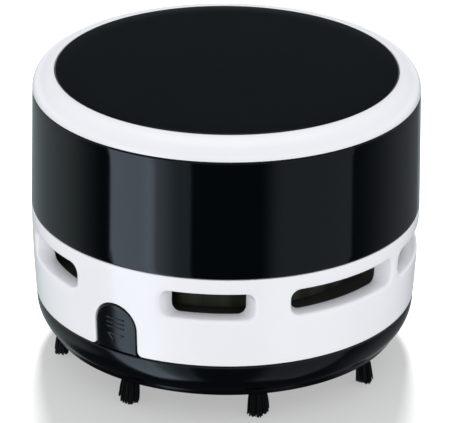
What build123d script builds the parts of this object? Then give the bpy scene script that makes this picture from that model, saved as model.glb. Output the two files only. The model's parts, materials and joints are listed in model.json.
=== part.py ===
from build123d import *
import os
from math import cos, radians, sin

# Battery-driven desktop vacuum cleaner, millimetres.
# Frame: Z up, Z = 0 at the tips of the brush tufts, Z axis through the middle of the
# body, release tab facing -Y.  Angles run from -Y towards +X.

# --- outer form, from the floor up -----------------------------------------------------
TUFT_DROP = 5.8          # brush tips to the underside of the tray
TRAY_HEIGHT = 8.5        # visible side of the dust tray
RING_HEIGHT = 20.6       # white vent ring
BAND_HEIGHT = 26.4       # black housing band
BEZEL_HEIGHT = 4.3       # rounded shoulder of the top cover
R_BAND_FOOT = 42.5       # band and vent ring where they meet, the widest level
BAND_DRAFT = 0.5         # the band narrows this much to the bezel
RING_DRAFT = 0.8         # the vent ring narrows this much to its lower edge
TRAY_STEP = 0.1          # tray's upper edge, inside the vent ring's
TRAY_UNDERCUT = 3.2      # the tray narrows this much to its lowest edge
BEZEL_WIDTH = 4.85       # white edge seen round the glossy disc
TRAY_BULGE = 0.75        # outward bow of the tray's side
RING_BULGE = 0.18        # outward bow of the vent ring
BEZEL_BULGE = 1.3        # outward bow of the bezel's shoulder

# --- walls and clearances --------------------------------------------------------------
WALL = 1.8               # housing band wall
TRAY_WALL = 1.4          # tray spigot and duct walls
SEAM = 0.1               # open seam between parts that are taken apart
PLAY = 0.3               # gap between parts that slide past each other
FIT = 0.05               # radial running clearance of pins and shafts
LAP = 0.1                # joined shapes sink this far into each other
WALL_LAP = 0.6           # the same for shapes that stand on a curved wall
SCREW_PLAY = 0.2         # radial clearance of a screw's hole

# --- dust tray -------------------------------------------------------------------------
LIP_HEIGHT = 1.5         # narrow lip under the tray's bulge
LIP_STEP = 0.4
SPIGOT_TOP = 20.6        # top of the tray's upstanding wall
FLOOR_THICK = 1.7
FLOOR_RECESS = 1.4       # underside inside the brush land
LAND_WIDTH = 5.4         # annular land that carries the tufts
MOUTH_LENGTH = 30.0      # suction mouth, along X
MOUTH_WIDTH = 9.0
MOUTH_FLARE = 1.2
DUCT_TOP = 12.5          # the duct's upper edge, keeps dust from falling back

# --- brush tufts -----------------------------------------------------------------------
TUFT_COUNT = 8
TUFT_INSET = 2.5         # tuft roots, inside the tray's lowest edge
TUFT_SOCKET = 2.0        # depth of the socket
TUFT_ROOT = (3.6, 2.4)   # tangential, radial size at the tray
TUFT_TIP = (5.2, 3.0)
TUFT_SPLAY = 0.9         # tips stand this much further out

# --- vent ring -------------------------------------------------------------------------
BELT_THICK = 4.0         # thick belt that holds the vents
SKIRT_THICK = 1.8        # thin skirt round the tray's spigot
BELT_FOOT = 23.6
BELT_CHAMFER = 1.4       # slope from the belt down to the skirt
VENT_SILL = 25.3
VENT_HEIGHT = 6.0
VENT_CORNER = 2.2
VENTS = ((28.6, 14.2, 11.6), (72.1, 19.3, 17.4))  # middle, half span outside, inside
VENT_MIRROR = 93.3       # the rear vents mirror the front ones about this angle
EAR_ANGLES = (0, 90, -90)
EAR_THICK = 1.8
EAR_WIDTH = 6.6

# --- release tab -----------------------------------------------------------------------
NOTCH_WIDTH = 10.8
NOTCH_TOP = 25.7
NOTCH_FOOT_RADIUS = 1.3
TAB_GAP = 0.2            # tab to notch, at the sides
TAB_TOP_GAP = 0.45       # room for the head, which rises as the tab is pressed
TAB_RECESS = 0.15        # tab's face behind the vent ring's surface
TAB_THICK = 1.5
TAB_PIN_R = 0.8
TAB_PIN_INSET = 1.6      # pin's axis, inside the spigot's face
TAB_PIN_RISE = 1.4       # pin's axis, above the tray's upper edge
TAB_EAR = 2.2            # ear round the pin
TAB_LIP_HALF = 2.6       # half width of the stop lip
TAB_LIP_DROP = 3.2       # foot of the lip, below the notch's head
TAB_PIN_BITE = 1.8       # pin ends, beyond the notch's sides
TAB_LIP_HEIGHT = 1.4     # stop lip above the notch, behind the belt
TAB_LIP_THICK = 1.1
TAB_KNUCKLE = 0.6        # material over the pin
MARK_RELIEF = 0.12       # raised marks on the tab's face
ARROW_TOP = 18.4
ARROW_WIDTH = 4.4
ARROW_DROP = 2.4
ARROW_INNER = 0.55       # open middle of the triangle, as a share of it
BAR_COUNT = 3
BAR_FOOT = 19.9
BAR_PITCH = 1.05
BAR_WIDTH = 4.6
BAR_HEIGHT = 0.4

# --- deck and fan chamber --------------------------------------------------------------
DECK_THICK = 1.7
FENCE_THICK = 1.2        # low fence round the motor's foot
FENCE_RISE = 5.0
PLATE_TOP = 23.3         # inlet plate
PLATE_THICK = 1.5
PLATE_GAP = 0.5          # inlet plate to the belt
PLATE_NOTCH = 3.4        # cut in the plate's rim behind the release tab
PLATE_NOTCH_PLAY = 1.0
INLET_RADIUS = 12.5
SHROUD_TO_BOSS = 3.5     # shroud's wall to the screw circle
SHROUD_WALL = 1.4
SHROUD_WINDOWS = 12      # outlets beside the blades' upper half, under the deck
EXIT_WIDTH = 11.0
EXIT_HEIGHT = 3.6
EXIT_DROP = 1.2          # outlets' upper edge, below the deck
EXIT_CORNER = 0.8
BOSS_ANGLES = (47.9, -47.9, 180)
BOSS_TO_BELT = 3.4       # screw circle to the belt
BOSS_RADIUS = 2.7
BOSS_RISE = 8.0          # band's bosses, above the deck
BOSS_WEB = 1.4           # web from such a boss to the wall
SCREW_R = 1.1
SCREW_HEAD_R = 2.2
SCREW_HEAD = 1.4
SCREW_BITE = 6.0
TIP_ROOM = 0.5           # screw's tip to the bottom of its hole

# --- impeller --------------------------------------------------------------------------
FAN_GAP = 2.2            # impeller to the shroud
FAN_TOP = 33.4
FAN_BACK = 1.2
FAN_FOOT = 24.7
BLADES = 9
BLADE_THICK = 1.1
BLADE_ARC = 19.0
BLADE_LEAN = 52.0        # degrees
BLADE_TIP_GAP = 0.4      # blade tips, inside the disc's rim
BLADE_ROOT = 10.5
HUB_RADIUS = 5.2
HUB_NOSE = 3.0           # radius of the hub's flat nose, and height of its cone
HUB_CAP = 1.5            # material under the shaft's end

# --- filter ----------------------------------------------------------------------------
COLLAR_RADIUS = 15.5
COLLAR_DROP = 2.8
COLLAR_WALL = 1.6
FILTER_WALL = 1.4
FILTER_MESH = 1.0
FILTER_GRIP = 1.2
FILTER_SPOKE = 1.6
FILTER_LEDGE = 2.0       # ledge under the mesh, in from the frame's wall

# --- motor -----------------------------------------------------------------------------
MOTOR_RADIUS = 10.05
MOTOR_FLAT = 7.55        # half distance over the can's flats
MOTOR_LENGTH = 21.3
MOTOR_WALL = 0.8
MOTOR_NOSE_R = 3.05
MOTOR_NOSE = 1.7
MOTOR_BEARING = 1.0      # bearing's boss inside the can
CAP_THICK = 2.0
CAP_PLUG = 1.2           # end cap, into the can
CAP_BOSS = 0.9
SHAFT_R = 1.0
ARMATURE_R = 6.3
ARMATURE_LENGTH = 12.0
ARMATURE_FOOT = 4.2      # above the deck
SLOT_WIDTH = 1.2         # three winding slots
SLOT_DEPTH = 2.6
COMMUTATOR_R = 2.2
COMMUTATOR_LENGTH = 3.0
MAGNET_THICK = 2.2
MAGNET_OVER = 0.7        # magnets reach past the armature at both ends
MAGNET_HALF = 5.2
TERMINAL_Y = 5.6
TERMINAL = (1.8, 0.4, 1.5)
CLAMP_THICK = 1.4
CLAMP_WIDTH = 9.0
CLAMP_FOOT = 5.2         # foot, outside the strap's leg
CLAMP_GAP = 1.2          # strap's legs to the can

# --- batteries -------------------------------------------------------------------------
CELL_R = 7.1
CELL_BODY = 49.0
CELL_EDGE = 0.6
CELL_NUB_R = 2.7
CELL_NUB = 1.2
CELL_Y = 20.6
CELL_SHIFT = 0.7         # middle of each cell's body, away from its spring
CELL_LIFT = 1.4          # cell above the deck
CONTACT_X = 27.7
CONTACT_THICK = 0.4
CONTACT_WIDTH = 11.0
CONTACT_TOP = 50.5
TAG_WIDTH = 3.0          # solder tags
TAG_RISE = 2.4
CONTACT_NOTCH = 6.0      # half of the gap in each contact's wall
CRADLE_THICK = 1.6
CRADLE_X = 16.0
SPRING_WIRE_R = 0.35
SPRING_R = 4.2
SPRING_TIP_R = 2.6
SPRING_TURNS = 3
SPRING_SIDES = 8         # runs in one turn
LEAD_R = 0.5             # insulated lead

# --- switch ----------------------------------------------------------------------------
SWITCH_Z = 48.0
SWITCH_TRAVEL = 4.0
SWITCH_BODY = (17.0, 4.0, 8.0)
SWITCH_GAP = 1.2         # switch body to the pocket's pad, for the knob's flange
POCKET = (16.4, 9.0)
POCKET_CORNER = 2.0
POCKET_DEPTH = 1.6
POCKET_EDGE = 1.2        # pad behind the pocket, beyond its outline
PAD_THICK = 1.3
KNOB_CAP = (8.4, 1.3, 6.0)
KNOB_NECK = (5.0, 3.0)
WINDOW_GAP = 0.35
RAIL_THICK = 1.0         # rails over and under the switch
KNOB_CORNER = 1.0
KNOB_RIBS = (-2.0, 0.0, 2.0)
KNOB_RIB = (0.8, 0.3, 4.4)
KNOB_FLANGE = (9.2, 0.55, 6.8)
LEVER = (2.0, 1.9, 3.0)
SWITCH_PINS = (-4.0, 0.0, 4.0)
SWITCH_PIN = (0.8, 2.4, 1.6)

# --- top cover -------------------------------------------------------------------------
COVER_PLATE = 1.5
DISC_THICK = 1.5
DISC_PROUD = 0.1         # disc's face above the bezel's crest
DISC_EDGE = 0.35
CREST_WIDTH = 0.5        # crest of the bezel, outside the disc
CREST_DROP = 0.15        # chamfer from the crest to the disc
SKIRT_WALL = 1.4
SKIRT_DEPTH = 4.9
LUG_COUNT = 3
LUG_ARC = 14.0
LUG_HEIGHT = 1.5
LEDGE_ARC = 44.0
LEDGE_THICK = 1.2
COVER_TURN = 22.0        # from locked to free, anticlockwise seen from above
STOP_ARC = 3.0
STOP_GAP = 1.0           # degrees between a lug's end and its stop
LEDGE_REACH = 1.1        # ledges stand this far in from the band's wall

# --- levels and radii that follow ------------------------------------------------------
TRAY_FOOT = TUFT_DROP
RING_FOOT = TRAY_FOOT + TRAY_HEIGHT
BAND_FOOT = RING_FOOT + RING_HEIGHT
BAND_TOP = BAND_FOOT + BAND_HEIGHT
COVER_TOP = BAND_TOP + BEZEL_HEIGHT
DECK_TOP = BAND_FOOT + DECK_THICK
FLOOR_TOP = TRAY_FOOT + FLOOR_RECESS + FLOOR_THICK
R_BAND_TOP = R_BAND_FOOT - BAND_DRAFT
R_RING_FOOT = R_BAND_FOOT - RING_DRAFT
R_TRAY_TOP = R_RING_FOOT - TRAY_STEP
R_TRAY_FOOT = R_TRAY_TOP - TRAY_UNDERCUT
R_DISC = R_BAND_TOP - BEZEL_WIDTH
TUFT_RADIUS = R_TRAY_FOOT - TUFT_INSET
BELT_INNER = R_BAND_FOOT - BELT_THICK
SKIRT_INNER = R_RING_FOOT - SKIRT_THICK
SPIGOT_R = SKIRT_INNER - PLAY
TAB_PIN_Y = TAB_PIN_INSET - SPIGOT_R
TAB_PIN_Z = RING_FOOT + TAB_PIN_RISE
TAB_PIN_REACH = NOTCH_WIDTH / 2 + TAB_PIN_BITE
PLATE_RADIUS = BELT_INNER - PLATE_GAP
BOSS_RING = BELT_INNER - BOSS_TO_BELT
SHROUD_RADIUS = BOSS_RING - SHROUD_TO_BOSS
FAN_RADIUS = SHROUD_RADIUS - SHROUD_WALL - FAN_GAP
POCKET_FLOOR_Y = R_BAND_TOP - POCKET_DEPTH
R_BAND_INNER_FOOT = R_BAND_FOOT - WALL
R_BAND_INNER_TOP = R_BAND_TOP - WALL
DECK_RADIUS = R_BAND_INNER_FOOT - PLAY
CELL_Z = DECK_TOP + CELL_LIFT + CELL_R
SWITCH_FRONT_Y = POCKET_FLOOR_Y - PAD_THICK - SWITCH_GAP
MOTOR_TOP = DECK_TOP + MOTOR_LENGTH
CLAMP_X = MOTOR_RADIUS + CLAMP_GAP + CLAMP_THICK + CLAMP_FOOT / 2
REACH = 100.0            # longer than any part, for through cuts


def turned(*lines):
    """Body of revolution from edges drawn in radius and height."""
    return revolve(Plane.XZ * make_face([*lines]), Axis.Z, 360)


def turned_poly(*points):
    return turned(Polyline(*points, close=True))


def at(shape, angle):
    """Turns a shape drawn at the tab's side to another angle."""
    return Rot(Z=angle) * shape


def post(radius, low, high, x=0.0, y=0.0):
    height = high - low
    return Pos(x, y, low + height / 2) * Cylinder(radius, height)


def block(x0, x1, y0, y1, z0, z1):
    return Pos((x0 + x1) / 2, (y0 + y1) / 2, (z0 + z1) / 2) * Box(x1 - x0, y1 - y0, z1 - z0)


def pipe(outer, inner, low, high):
    return post(outer, low, high) - post(inner, low - 1, high + 1)


def sector(outer, inner, low, high, middle, arc):
    """Piece of a pipe, arc degrees long, about a middle angle."""
    half = radians(arc / 2)
    far = 2 * outer
    side_x, side_y = far * sin(half), -far * cos(half)
    wedge = make_face(Polyline((0, 0), (-side_x, side_y), (side_x, side_y), close=True))
    prism = Pos(0, 0, low) * extrude(wedge, high - low)
    return at(pipe(outer, inner, low, high) & prism, middle)


def route_radii(points):
    """Bend radius at each inner point: 0.45 of the shorter run over the tangent of half the turn."""
    radii = []
    for before, here, after in zip(points, points[1:], points[2:]):
        first, second = Vector(*here) - Vector(*before), Vector(*after) - Vector(*here)
        half = radians(first.get_angle(second)) / 2
        radii.append(0.45 * min(first.length, second.length) * cos(half) / sin(half))
    return radii


def wire_along(points, radius):
    """Round wire of straight runs joined by tangent arcs."""
    path = FilletPolyline(*points, radius=route_radii(points))
    section = Plane(origin=path @ 0, z_dir=path % 0) * Circle(radius)
    return sweep(section, path=path)


# --- dust tray, tufts and release tab --------------------------------------------------

def tuft_seat(height, grow=0.0):
    """Rounded outline of one tuft at a height; it splays outwards towards the floor."""
    share = min(max((TUFT_DROP - height) / TUFT_DROP, 0), 1)
    wide = TUFT_ROOT[0] + share * (TUFT_TIP[0] - TUFT_ROOT[0]) + 2 * grow
    deep = TUFT_ROOT[1] + share * (TUFT_TIP[1] - TUFT_ROOT[1]) + 2 * grow
    middle = TUFT_RADIUS + share * TUFT_SPLAY
    return Pos(0, -middle, height) * RectangleRounded(wide, deep, deep * 0.42)


def brush_tuft(index):
    fan = loft([tuft_seat(0), tuft_seat(TUFT_DROP)])
    root = extrude(tuft_seat(TUFT_DROP), TUFT_SOCKET - FIT)
    return at(fan + root, index * 360 / TUFT_COUNT)


def dust_tray():
    lip_top = TRAY_FOOT + LIP_HEIGHT
    land = R_TRAY_FOOT - LAND_WIDTH
    under = TRAY_FOOT + FLOOR_RECESS
    groove = R_TRAY_FOOT + LIP_STEP
    shell = turned(
        Polyline((groove + LIP_STEP, lip_top + 0.2), (groove, lip_top), (R_TRAY_FOOT, TRAY_FOOT),
                 (land, TRAY_FOOT), (land - FLOOR_RECESS, under), (0, under), (0, FLOOR_TOP),
                 (SPIGOT_R - TRAY_WALL, FLOOR_TOP), (SPIGOT_R - TRAY_WALL, SPIGOT_TOP),
                 (SPIGOT_R, SPIGOT_TOP), (SPIGOT_R, RING_FOOT - SEAM), (R_TRAY_TOP, RING_FOOT - SEAM)),
        SagittaArc((R_TRAY_TOP, RING_FOOT - SEAM), (groove + LIP_STEP, lip_top + 0.2), TRAY_BULGE))
    duct = extrude(Pos(0, 0, under) * RectangleRounded(MOUTH_LENGTH + 2 * TRAY_WALL,
                   MOUTH_WIDTH + 2 * TRAY_WALL, MOUTH_WIDTH / 2 + TRAY_WALL - 0.1), DUCT_TOP - under)
    shell += duct
    mouth = RectangleRounded(MOUTH_LENGTH, MOUTH_WIDTH, MOUTH_WIDTH / 2 - 0.1)
    shell -= extrude(Pos(0, 0, TRAY_FOOT) * mouth, REACH)
    wide = RectangleRounded(MOUTH_LENGTH + 2 * MOUTH_FLARE, MOUTH_WIDTH + 2 * MOUTH_FLARE,
                            MOUTH_WIDTH / 2 + MOUTH_FLARE - 0.1)
    shell -= loft([Pos(0, 0, under - 0.01) * wide, Pos(0, 0, under + MOUTH_FLARE) * mouth])
    half = NOTCH_WIDTH / 2
    ear_reach = TAB_PIN_REACH + TRAY_WALL
    ears = block(-ear_reach, ear_reach, -SPIGOT_R, TAB_PIN_Y + TAB_EAR, FLOOR_TOP - 0.5, TAB_PIN_Z + TAB_EAR)
    shell += ears & post(SPIGOT_R, 0, REACH)
    shell -= block(-half, half, -REACH, TAB_PIN_Y + 3.5, RING_FOOT - SEAM, REACH)
    shell -= block(-half, half, -SPIGOT_R + TRAY_WALL, TAB_PIN_Y + 3.5, FLOOR_TOP, REACH)
    bore = Pos(0, TAB_PIN_Y, TAB_PIN_Z) * Rot(Y=90) * Cylinder(TAB_PIN_R + FIT, 2 * TAB_PIN_REACH + 2 * PLAY)
    shell -= bore
    for index in range(TUFT_COUNT):
        shell -= at(extrude(tuft_seat(TRAY_FOOT, FIT), TUFT_SOCKET), index * 360 / TUFT_COUNT)
    return shell


def arch(width, foot, top):
    """Upright outline with a round head, seen from the tab's side."""
    radius = width / 2
    body = Pos(0, (foot + top - radius) / 2) * Rectangle(width, top - radius - foot)
    return body + Pos(0, top - radius) * Circle(radius)


def front_prism(outline):
    """Extrudes an outline drawn in X and Z through the body's wall on the tab's side."""
    near, far = 0.7 * R_BAND_FOOT, 1.2 * R_BAND_FOOT
    return Pos(0, -near, 0) * extrude(Plane.XZ * outline, far - near)


def ring_radius(height):
    """Outer radius of the vent ring's straight chord at a height."""
    share = (height - RING_FOOT) / RING_HEIGHT
    return R_RING_FOOT + share * (R_BAND_FOOT - R_RING_FOOT)


def ring_skin(outward, thick):
    """Shell that follows the vent ring's side, with its face that far outside the ring's surface."""
    levels = (RING_FOOT - NOTCH_FOOT_RADIUS, BAND_FOOT)
    face = [(ring_radius(height) + outward, height) for height in levels]
    return turned_poly(*face, *[(radius - thick, height) for radius, height in reversed(face)])


def release_tab():
    foot, top = RING_FOOT, NOTCH_TOP - TAB_TOP_GAP
    width = NOTCH_WIDTH - 2 * TAB_GAP
    tab = front_prism(arch(width, foot, top)) & ring_skin(-TAB_RECESS, TAB_THICK)
    knuckle_y = TAB_PIN_Y + TAB_PIN_R + TAB_THICK / 2
    knuckle = block(-width / 2, width / 2, -REACH, knuckle_y, foot, TAB_PIN_Z + TAB_PIN_R + TAB_KNUCKLE)
    tab += knuckle & post(ring_radius(foot) - TAB_RECESS - TAB_THICK / 2, 0, REACH)
    tab += Pos(0, TAB_PIN_Y, TAB_PIN_Z) * Rot(Y=90) * Cylinder(TAB_PIN_R, 2 * TAB_PIN_REACH)
    lip_foot = NOTCH_TOP - TAB_LIP_DROP
    lip_out = BELT_INNER - PLAY
    lip = pipe(lip_out, lip_out - TAB_LIP_THICK, lip_foot, NOTCH_TOP + TAB_LIP_HEIGHT)
    bridge = pipe(ring_radius(lip_foot) - TAB_RECESS - TAB_THICK / 2, lip_out - TAB_LIP_THICK,
                  lip_foot, lip_foot + TAB_LIP_HEIGHT)
    tab += (lip + bridge) & block(-TAB_LIP_HALF, TAB_LIP_HALF, -REACH, 0, 0, REACH)
    marks = front_prism(arrow_mark() + grip_bars()) & ring_skin(MARK_RELIEF - TAB_RECESS, TAB_THICK / 2)
    return tab + marks


def arrow_mark():
    """Raised triangle that points down."""
    mark = Sketch()
    for size, sign in ((1.0, 1), (ARROW_INNER, -1)):
        half, drop = size * ARROW_WIDTH / 2, size * ARROW_DROP
        middle = ARROW_TOP - ARROW_DROP * 0.42
        high, low = middle + drop * 0.42, middle - drop * 0.58
        face_part = make_face(Polyline((-half, high), (half, high), (0, low), close=True))
        mark = mark + face_part if sign > 0 else mark - face_part
    return mark


def grip_bars():
    """Three short raised bars above the triangle, where a finger presses."""
    bars = Sketch()
    for index in range(BAR_COUNT):
        bars += Pos(0, BAR_FOOT + index * BAR_PITCH) * Rectangle(BAR_WIDTH, BAR_HEIGHT)
    return bars


# --- vent ring -------------------------------------------------------------------------

def vent_cutter(middle, outer_half, inner_half):
    """Slot with a flat sill and flared jambs, through the belt."""
    r_out = ring_radius(VENT_SILL + VENT_HEIGHT / 2)
    w_out, d_out = r_out * sin(radians(outer_half)), r_out * cos(radians(outer_half))
    w_in, d_in = BELT_INNER * sin(radians(inner_half)), BELT_INNER * cos(radians(inner_half))
    slope = (w_out - w_in) / (d_out - d_in)
    faces = []
    for depth in (d_in - 3.0, r_out + 3.0):
        wide = 2 * (w_in + slope * (depth - d_in))
        plane = Plane(origin=(0, -depth, VENT_SILL + VENT_HEIGHT / 2), x_dir=(1, 0, 0), z_dir=(0, -1, 0))
        faces.append(plane * RectangleRounded(wide, VENT_HEIGHT, VENT_CORNER))
    return at(loft(faces), middle)


def vent_angles():
    spans = []
    for middle, outer_half, inner_half in VENTS:
        for side in (1, -1):
            spans.append((side * middle, outer_half, inner_half))
            spans.append((side * (2 * VENT_MIRROR - middle), outer_half, inner_half))
    return spans


def vent_ring():
    ring = turned(
        Polyline((R_BAND_FOOT, BAND_FOOT - SEAM), (BELT_INNER, BAND_FOOT - SEAM), (BELT_INNER, BELT_FOOT),
                 (SKIRT_INNER, BELT_FOOT - BELT_CHAMFER), (SKIRT_INNER, RING_FOOT), (R_RING_FOOT, RING_FOOT)),
        SagittaArc((R_RING_FOOT, RING_FOOT), (R_BAND_FOOT, BAND_FOOT - SEAM), -RING_BULGE))
    for middle, outer_half, inner_half in vent_angles():
        ring -= vent_cutter(middle, outer_half, inner_half)
    ear_top = BAND_FOOT - SEAM
    for angle in EAR_ANGLES:
        half, ear_foot = EAR_WIDTH / 2, ear_top - EAR_THICK
        ear = block(-half, half, -BELT_INNER - WALL_LAP, -BOSS_RING, ear_foot, ear_top)
        ear += post(half, ear_foot, ear_top, y=-BOSS_RING)
        ring += at(ear, angle)
        ring -= at(post(SCREW_R + SCREW_PLAY, ear_top - 2 * EAR_THICK, REACH, y=-BOSS_RING), angle)
    side, flare = NOTCH_WIDTH / 2, NOTCH_WIDTH / 2 + NOTCH_FOOT_RADIUS
    under, over = RING_FOOT - NOTCH_FOOT_RADIUS, RING_FOOT + NOTCH_FOOT_RADIUS
    foot = make_face([
        Polyline((-flare, RING_FOOT), (-flare, under), (flare, under), (flare, RING_FOOT)),
        RadiusArc((flare, RING_FOOT), (side, over), NOTCH_FOOT_RADIUS),
        Line((side, over), (-side, over)),
        RadiusArc((-side, over), (-flare, RING_FOOT), NOTCH_FOOT_RADIUS)])
    return ring - front_prism(arch(NOTCH_WIDTH, under, NOTCH_TOP) + foot)


# --- housing band, deck, shroud and inlet plate ----------------------------------------

def housing_band():
    band = turned_poly((R_BAND_FOOT, BAND_FOOT), (R_BAND_TOP, BAND_TOP - SEAM),
                       (R_BAND_INNER_TOP, BAND_TOP - SEAM), (R_BAND_INNER_FOOT, BAND_FOOT))
    for angle in EAR_ANGLES:
        boss = post(BOSS_RADIUS, DECK_TOP, DECK_TOP + BOSS_RISE, y=-BOSS_RING)
        web = block(-BOSS_WEB / 2, BOSS_WEB / 2, -R_BAND_INNER_TOP - WALL_LAP, -BOSS_RING,
                    DECK_TOP, DECK_TOP + BOSS_RISE)
        pilot = post(SCREW_R, DECK_TOP - 1, DECK_TOP + SCREW_BITE, y=-BOSS_RING)
        band += at(boss + web, angle)
        band -= at(pilot, angle)
    lug_foot = BAND_TOP - SKIRT_DEPTH
    ledge_foot = lug_foot + LUG_HEIGHT + PLAY
    outer, inner = R_BAND_INNER_TOP + WALL_LAP, R_BAND_INNER_TOP - LEDGE_REACH
    for index in range(LUG_COUNT):
        middle = index * 360 / LUG_COUNT
        ledge = middle + COVER_TURN - LUG_ARC / 2 - STOP_GAP - LEDGE_ARC / 2
        band += sector(outer, inner, ledge_foot, ledge_foot + LEDGE_THICK, ledge, LEDGE_ARC)
        stop = LUG_ARC / 2 + STOP_GAP + STOP_ARC / 2
        for angle in (middle - stop, middle + COVER_TURN + stop):
            band += sector(outer, inner, lug_foot, ledge_foot + LEDGE_THICK, angle, STOP_ARC)
    band = switch_pocket(band)
    rail_low = SWITCH_Z - SWITCH_BODY[2] / 2
    rail_high = SWITCH_Z + SWITCH_BODY[2] / 2
    reach = SWITCH_BODY[0] / 2
    for low, high in ((rail_low - RAIL_THICK, rail_low), (rail_high, rail_high + RAIL_THICK)):
        rail = block(-reach, reach, SWITCH_FRONT_Y - SWITCH_BODY[1], REACH, low, high)
        band += rail & post(R_BAND_INNER_TOP + WALL_LAP, 0, REACH)
    return band


def switch_pocket(band):
    """Sinks a flat-floored pocket into the back of the band and opens the knob's window."""
    wide, high = POCKET[0] / 2, POCKET[1] / 2
    pad = block(-wide - POCKET_EDGE, wide + POCKET_EDGE, POCKET_FLOOR_Y - PAD_THICK, REACH,
                SWITCH_Z - high - POCKET_EDGE, SWITCH_Z + high + POCKET_EDGE)
    band += pad & post(R_BAND_INNER_TOP + WALL_LAP, 0, REACH)
    outline = Pos(0, SWITCH_Z) * RectangleRounded(POCKET[0], POCKET[1], POCKET_CORNER)
    band -= Pos(0, REACH, 0) * extrude(Plane.XZ * outline, REACH - POCKET_FLOOR_Y)
    half = SWITCH_TRAVEL / 2 + KNOB_NECK[0] / 2 + WINDOW_GAP
    tall = KNOB_NECK[1] / 2 + WINDOW_GAP
    return band - block(-half, half, 0.8 * R_BAND_TOP, REACH, SWITCH_Z - tall, SWITCH_Z + tall)


def motor_deck():
    deck = post(DECK_RADIUS, BAND_FOOT, DECK_TOP)
    for angle in BOSS_ANGLES:
        deck += at(post(BOSS_RADIUS, PLATE_TOP, BAND_FOOT + LAP, y=-BOSS_RING), angle)
        deck -= at(post(SCREW_R, PLATE_TOP - 1, PLATE_TOP + SCREW_BITE, y=-BOSS_RING), angle)
    for angle in EAR_ANGLES:
        deck -= at(post(SCREW_R + SCREW_PLAY, 0, REACH, y=-BOSS_RING), angle)
    fence = can_outline(FENCE_THICK, DECK_TOP - LAP, DECK_TOP + FENCE_RISE)
    deck += fence - can_outline(LAP, DECK_TOP, REACH)
    deck -= post(MOTOR_NOSE_R + LAP, 0, REACH)
    half = CRADLE_THICK / 2
    for side in (-1, 1):
        low, high = side * CELL_Y - CELL_R, side * CELL_Y + CELL_R
        cell = Pos(0, side * CELL_Y, CELL_Z) * Rot(Y=90) * Cylinder(CELL_R, 2 * REACH)
        for x in (-CRADLE_X, CRADLE_X):
            deck += block(x - half, x + half, low, high, DECK_TOP - LAP, CELL_Z - CELL_R / 2) - cell
    wide = CELL_Y + CONTACT_WIDTH / 2
    for side in (-1, 1):
        near = side * (CONTACT_X + CONTACT_THICK)
        x0, x1 = sorted((near, near + side * CRADLE_THICK))
        wall = block(x0, x1, -wide, wide, DECK_TOP - LAP, CONTACT_TOP)
        deck += wall - block(-REACH, REACH, -CONTACT_NOTCH, CONTACT_NOTCH, DECK_TOP, REACH)
        deck += post(BOSS_RADIUS, DECK_TOP - LAP, DECK_TOP + SCREW_BITE, x=side * CLAMP_X)
        deck -= post(SCREW_R, DECK_TOP, DECK_TOP + SCREW_BITE + LAP, x=side * CLAMP_X)
    return deck


def fan_shroud():
    shroud = pipe(SHROUD_RADIUS, SHROUD_RADIUS - SHROUD_WALL, PLATE_TOP, BAND_FOOT)
    middle = Pos(0, BAND_FOOT - EXIT_DROP - EXIT_HEIGHT / 2)
    outlet = extrude(Plane.XZ * middle * RectangleRounded(EXIT_WIDTH, EXIT_HEIGHT, EXIT_CORNER), REACH)
    for index in range(SHROUD_WINDOWS):
        shroud -= at(outlet, (index + 0.5) * 360 / SHROUD_WINDOWS)
    return shroud


def fan_inlet_plate():
    plate = pipe(PLATE_RADIUS, INLET_RADIUS, PLATE_TOP - PLATE_THICK, PLATE_TOP)
    foot = PLATE_TOP - PLATE_THICK
    plate += pipe(COLLAR_RADIUS, COLLAR_RADIUS - COLLAR_WALL, foot - COLLAR_DROP, foot + LAP)
    for angle in BOSS_ANGLES:
        plate -= at(post(SCREW_R + SCREW_PLAY, 0, REACH, y=-BOSS_RING), angle)
    half = NOTCH_WIDTH / 2 + PLATE_NOTCH_PLAY
    return plate - block(-half, half, -REACH, PLATE_NOTCH - PLATE_RADIUS, 0, REACH)


# --- impeller and motor ----------------------------------------------------------------

def blade():
    """One backward-curved blade, the part of a thin ring between root and tip."""
    lean = radians(BLADE_LEAN)
    mid = (BLADE_ROOT + FAN_RADIUS) / 2
    cx, cy = -BLADE_ARC * cos(lean), -mid + BLADE_ARC * sin(lean)
    bend = pipe(BLADE_ARC, BLADE_ARC - BLADE_THICK, FAN_FOOT, FAN_TOP - FAN_BACK + LAP)
    span = pipe(FAN_RADIUS - BLADE_TIP_GAP, BLADE_ROOT, FAN_FOOT, FAN_TOP)
    side = block(cx, REACH, -REACH, cy, 0, REACH)
    return Pos(cx, cy, 0) * bend & span & side


def impeller():
    fan = post(FAN_RADIUS, FAN_TOP - FAN_BACK, FAN_TOP)
    fan += turned_poly((0, FAN_FOOT), (HUB_NOSE, FAN_FOOT), (HUB_RADIUS, FAN_FOOT + HUB_NOSE),
                       (HUB_RADIUS, FAN_TOP), (0, FAN_TOP))
    one = blade()
    for index in range(BLADES):
        fan += at(one, index * 360 / BLADES)
    return fan - post(SHAFT_R, FAN_FOOT + HUB_CAP, REACH)


def can_outline(grow, low, high):
    """Round can with two flats, grown on every side."""
    flat = MOTOR_FLAT + grow
    return post(MOTOR_RADIUS + grow, low, high) & block(-REACH, REACH, -flat, flat, low, high)


def motor_can():
    can = can_outline(0, DECK_TOP, MOTOR_TOP) - can_outline(-MOTOR_WALL, DECK_TOP + MOTOR_WALL, REACH)
    can += post(MOTOR_NOSE_R, DECK_TOP - MOTOR_NOSE, DECK_TOP + MOTOR_WALL + MOTOR_BEARING)
    return can - post(SHAFT_R + FIT, 0, REACH)


def motor_magnets():
    inner = MOTOR_RADIUS - MOTOR_WALL
    low = DECK_TOP + ARMATURE_FOOT - MAGNET_OVER
    shell = pipe(inner - FIT, inner - MAGNET_THICK, low, low + ARMATURE_LENGTH + 2 * MAGNET_OVER)
    return shell & block(-REACH, REACH, -MAGNET_HALF, MAGNET_HALF, 0, REACH)


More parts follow.
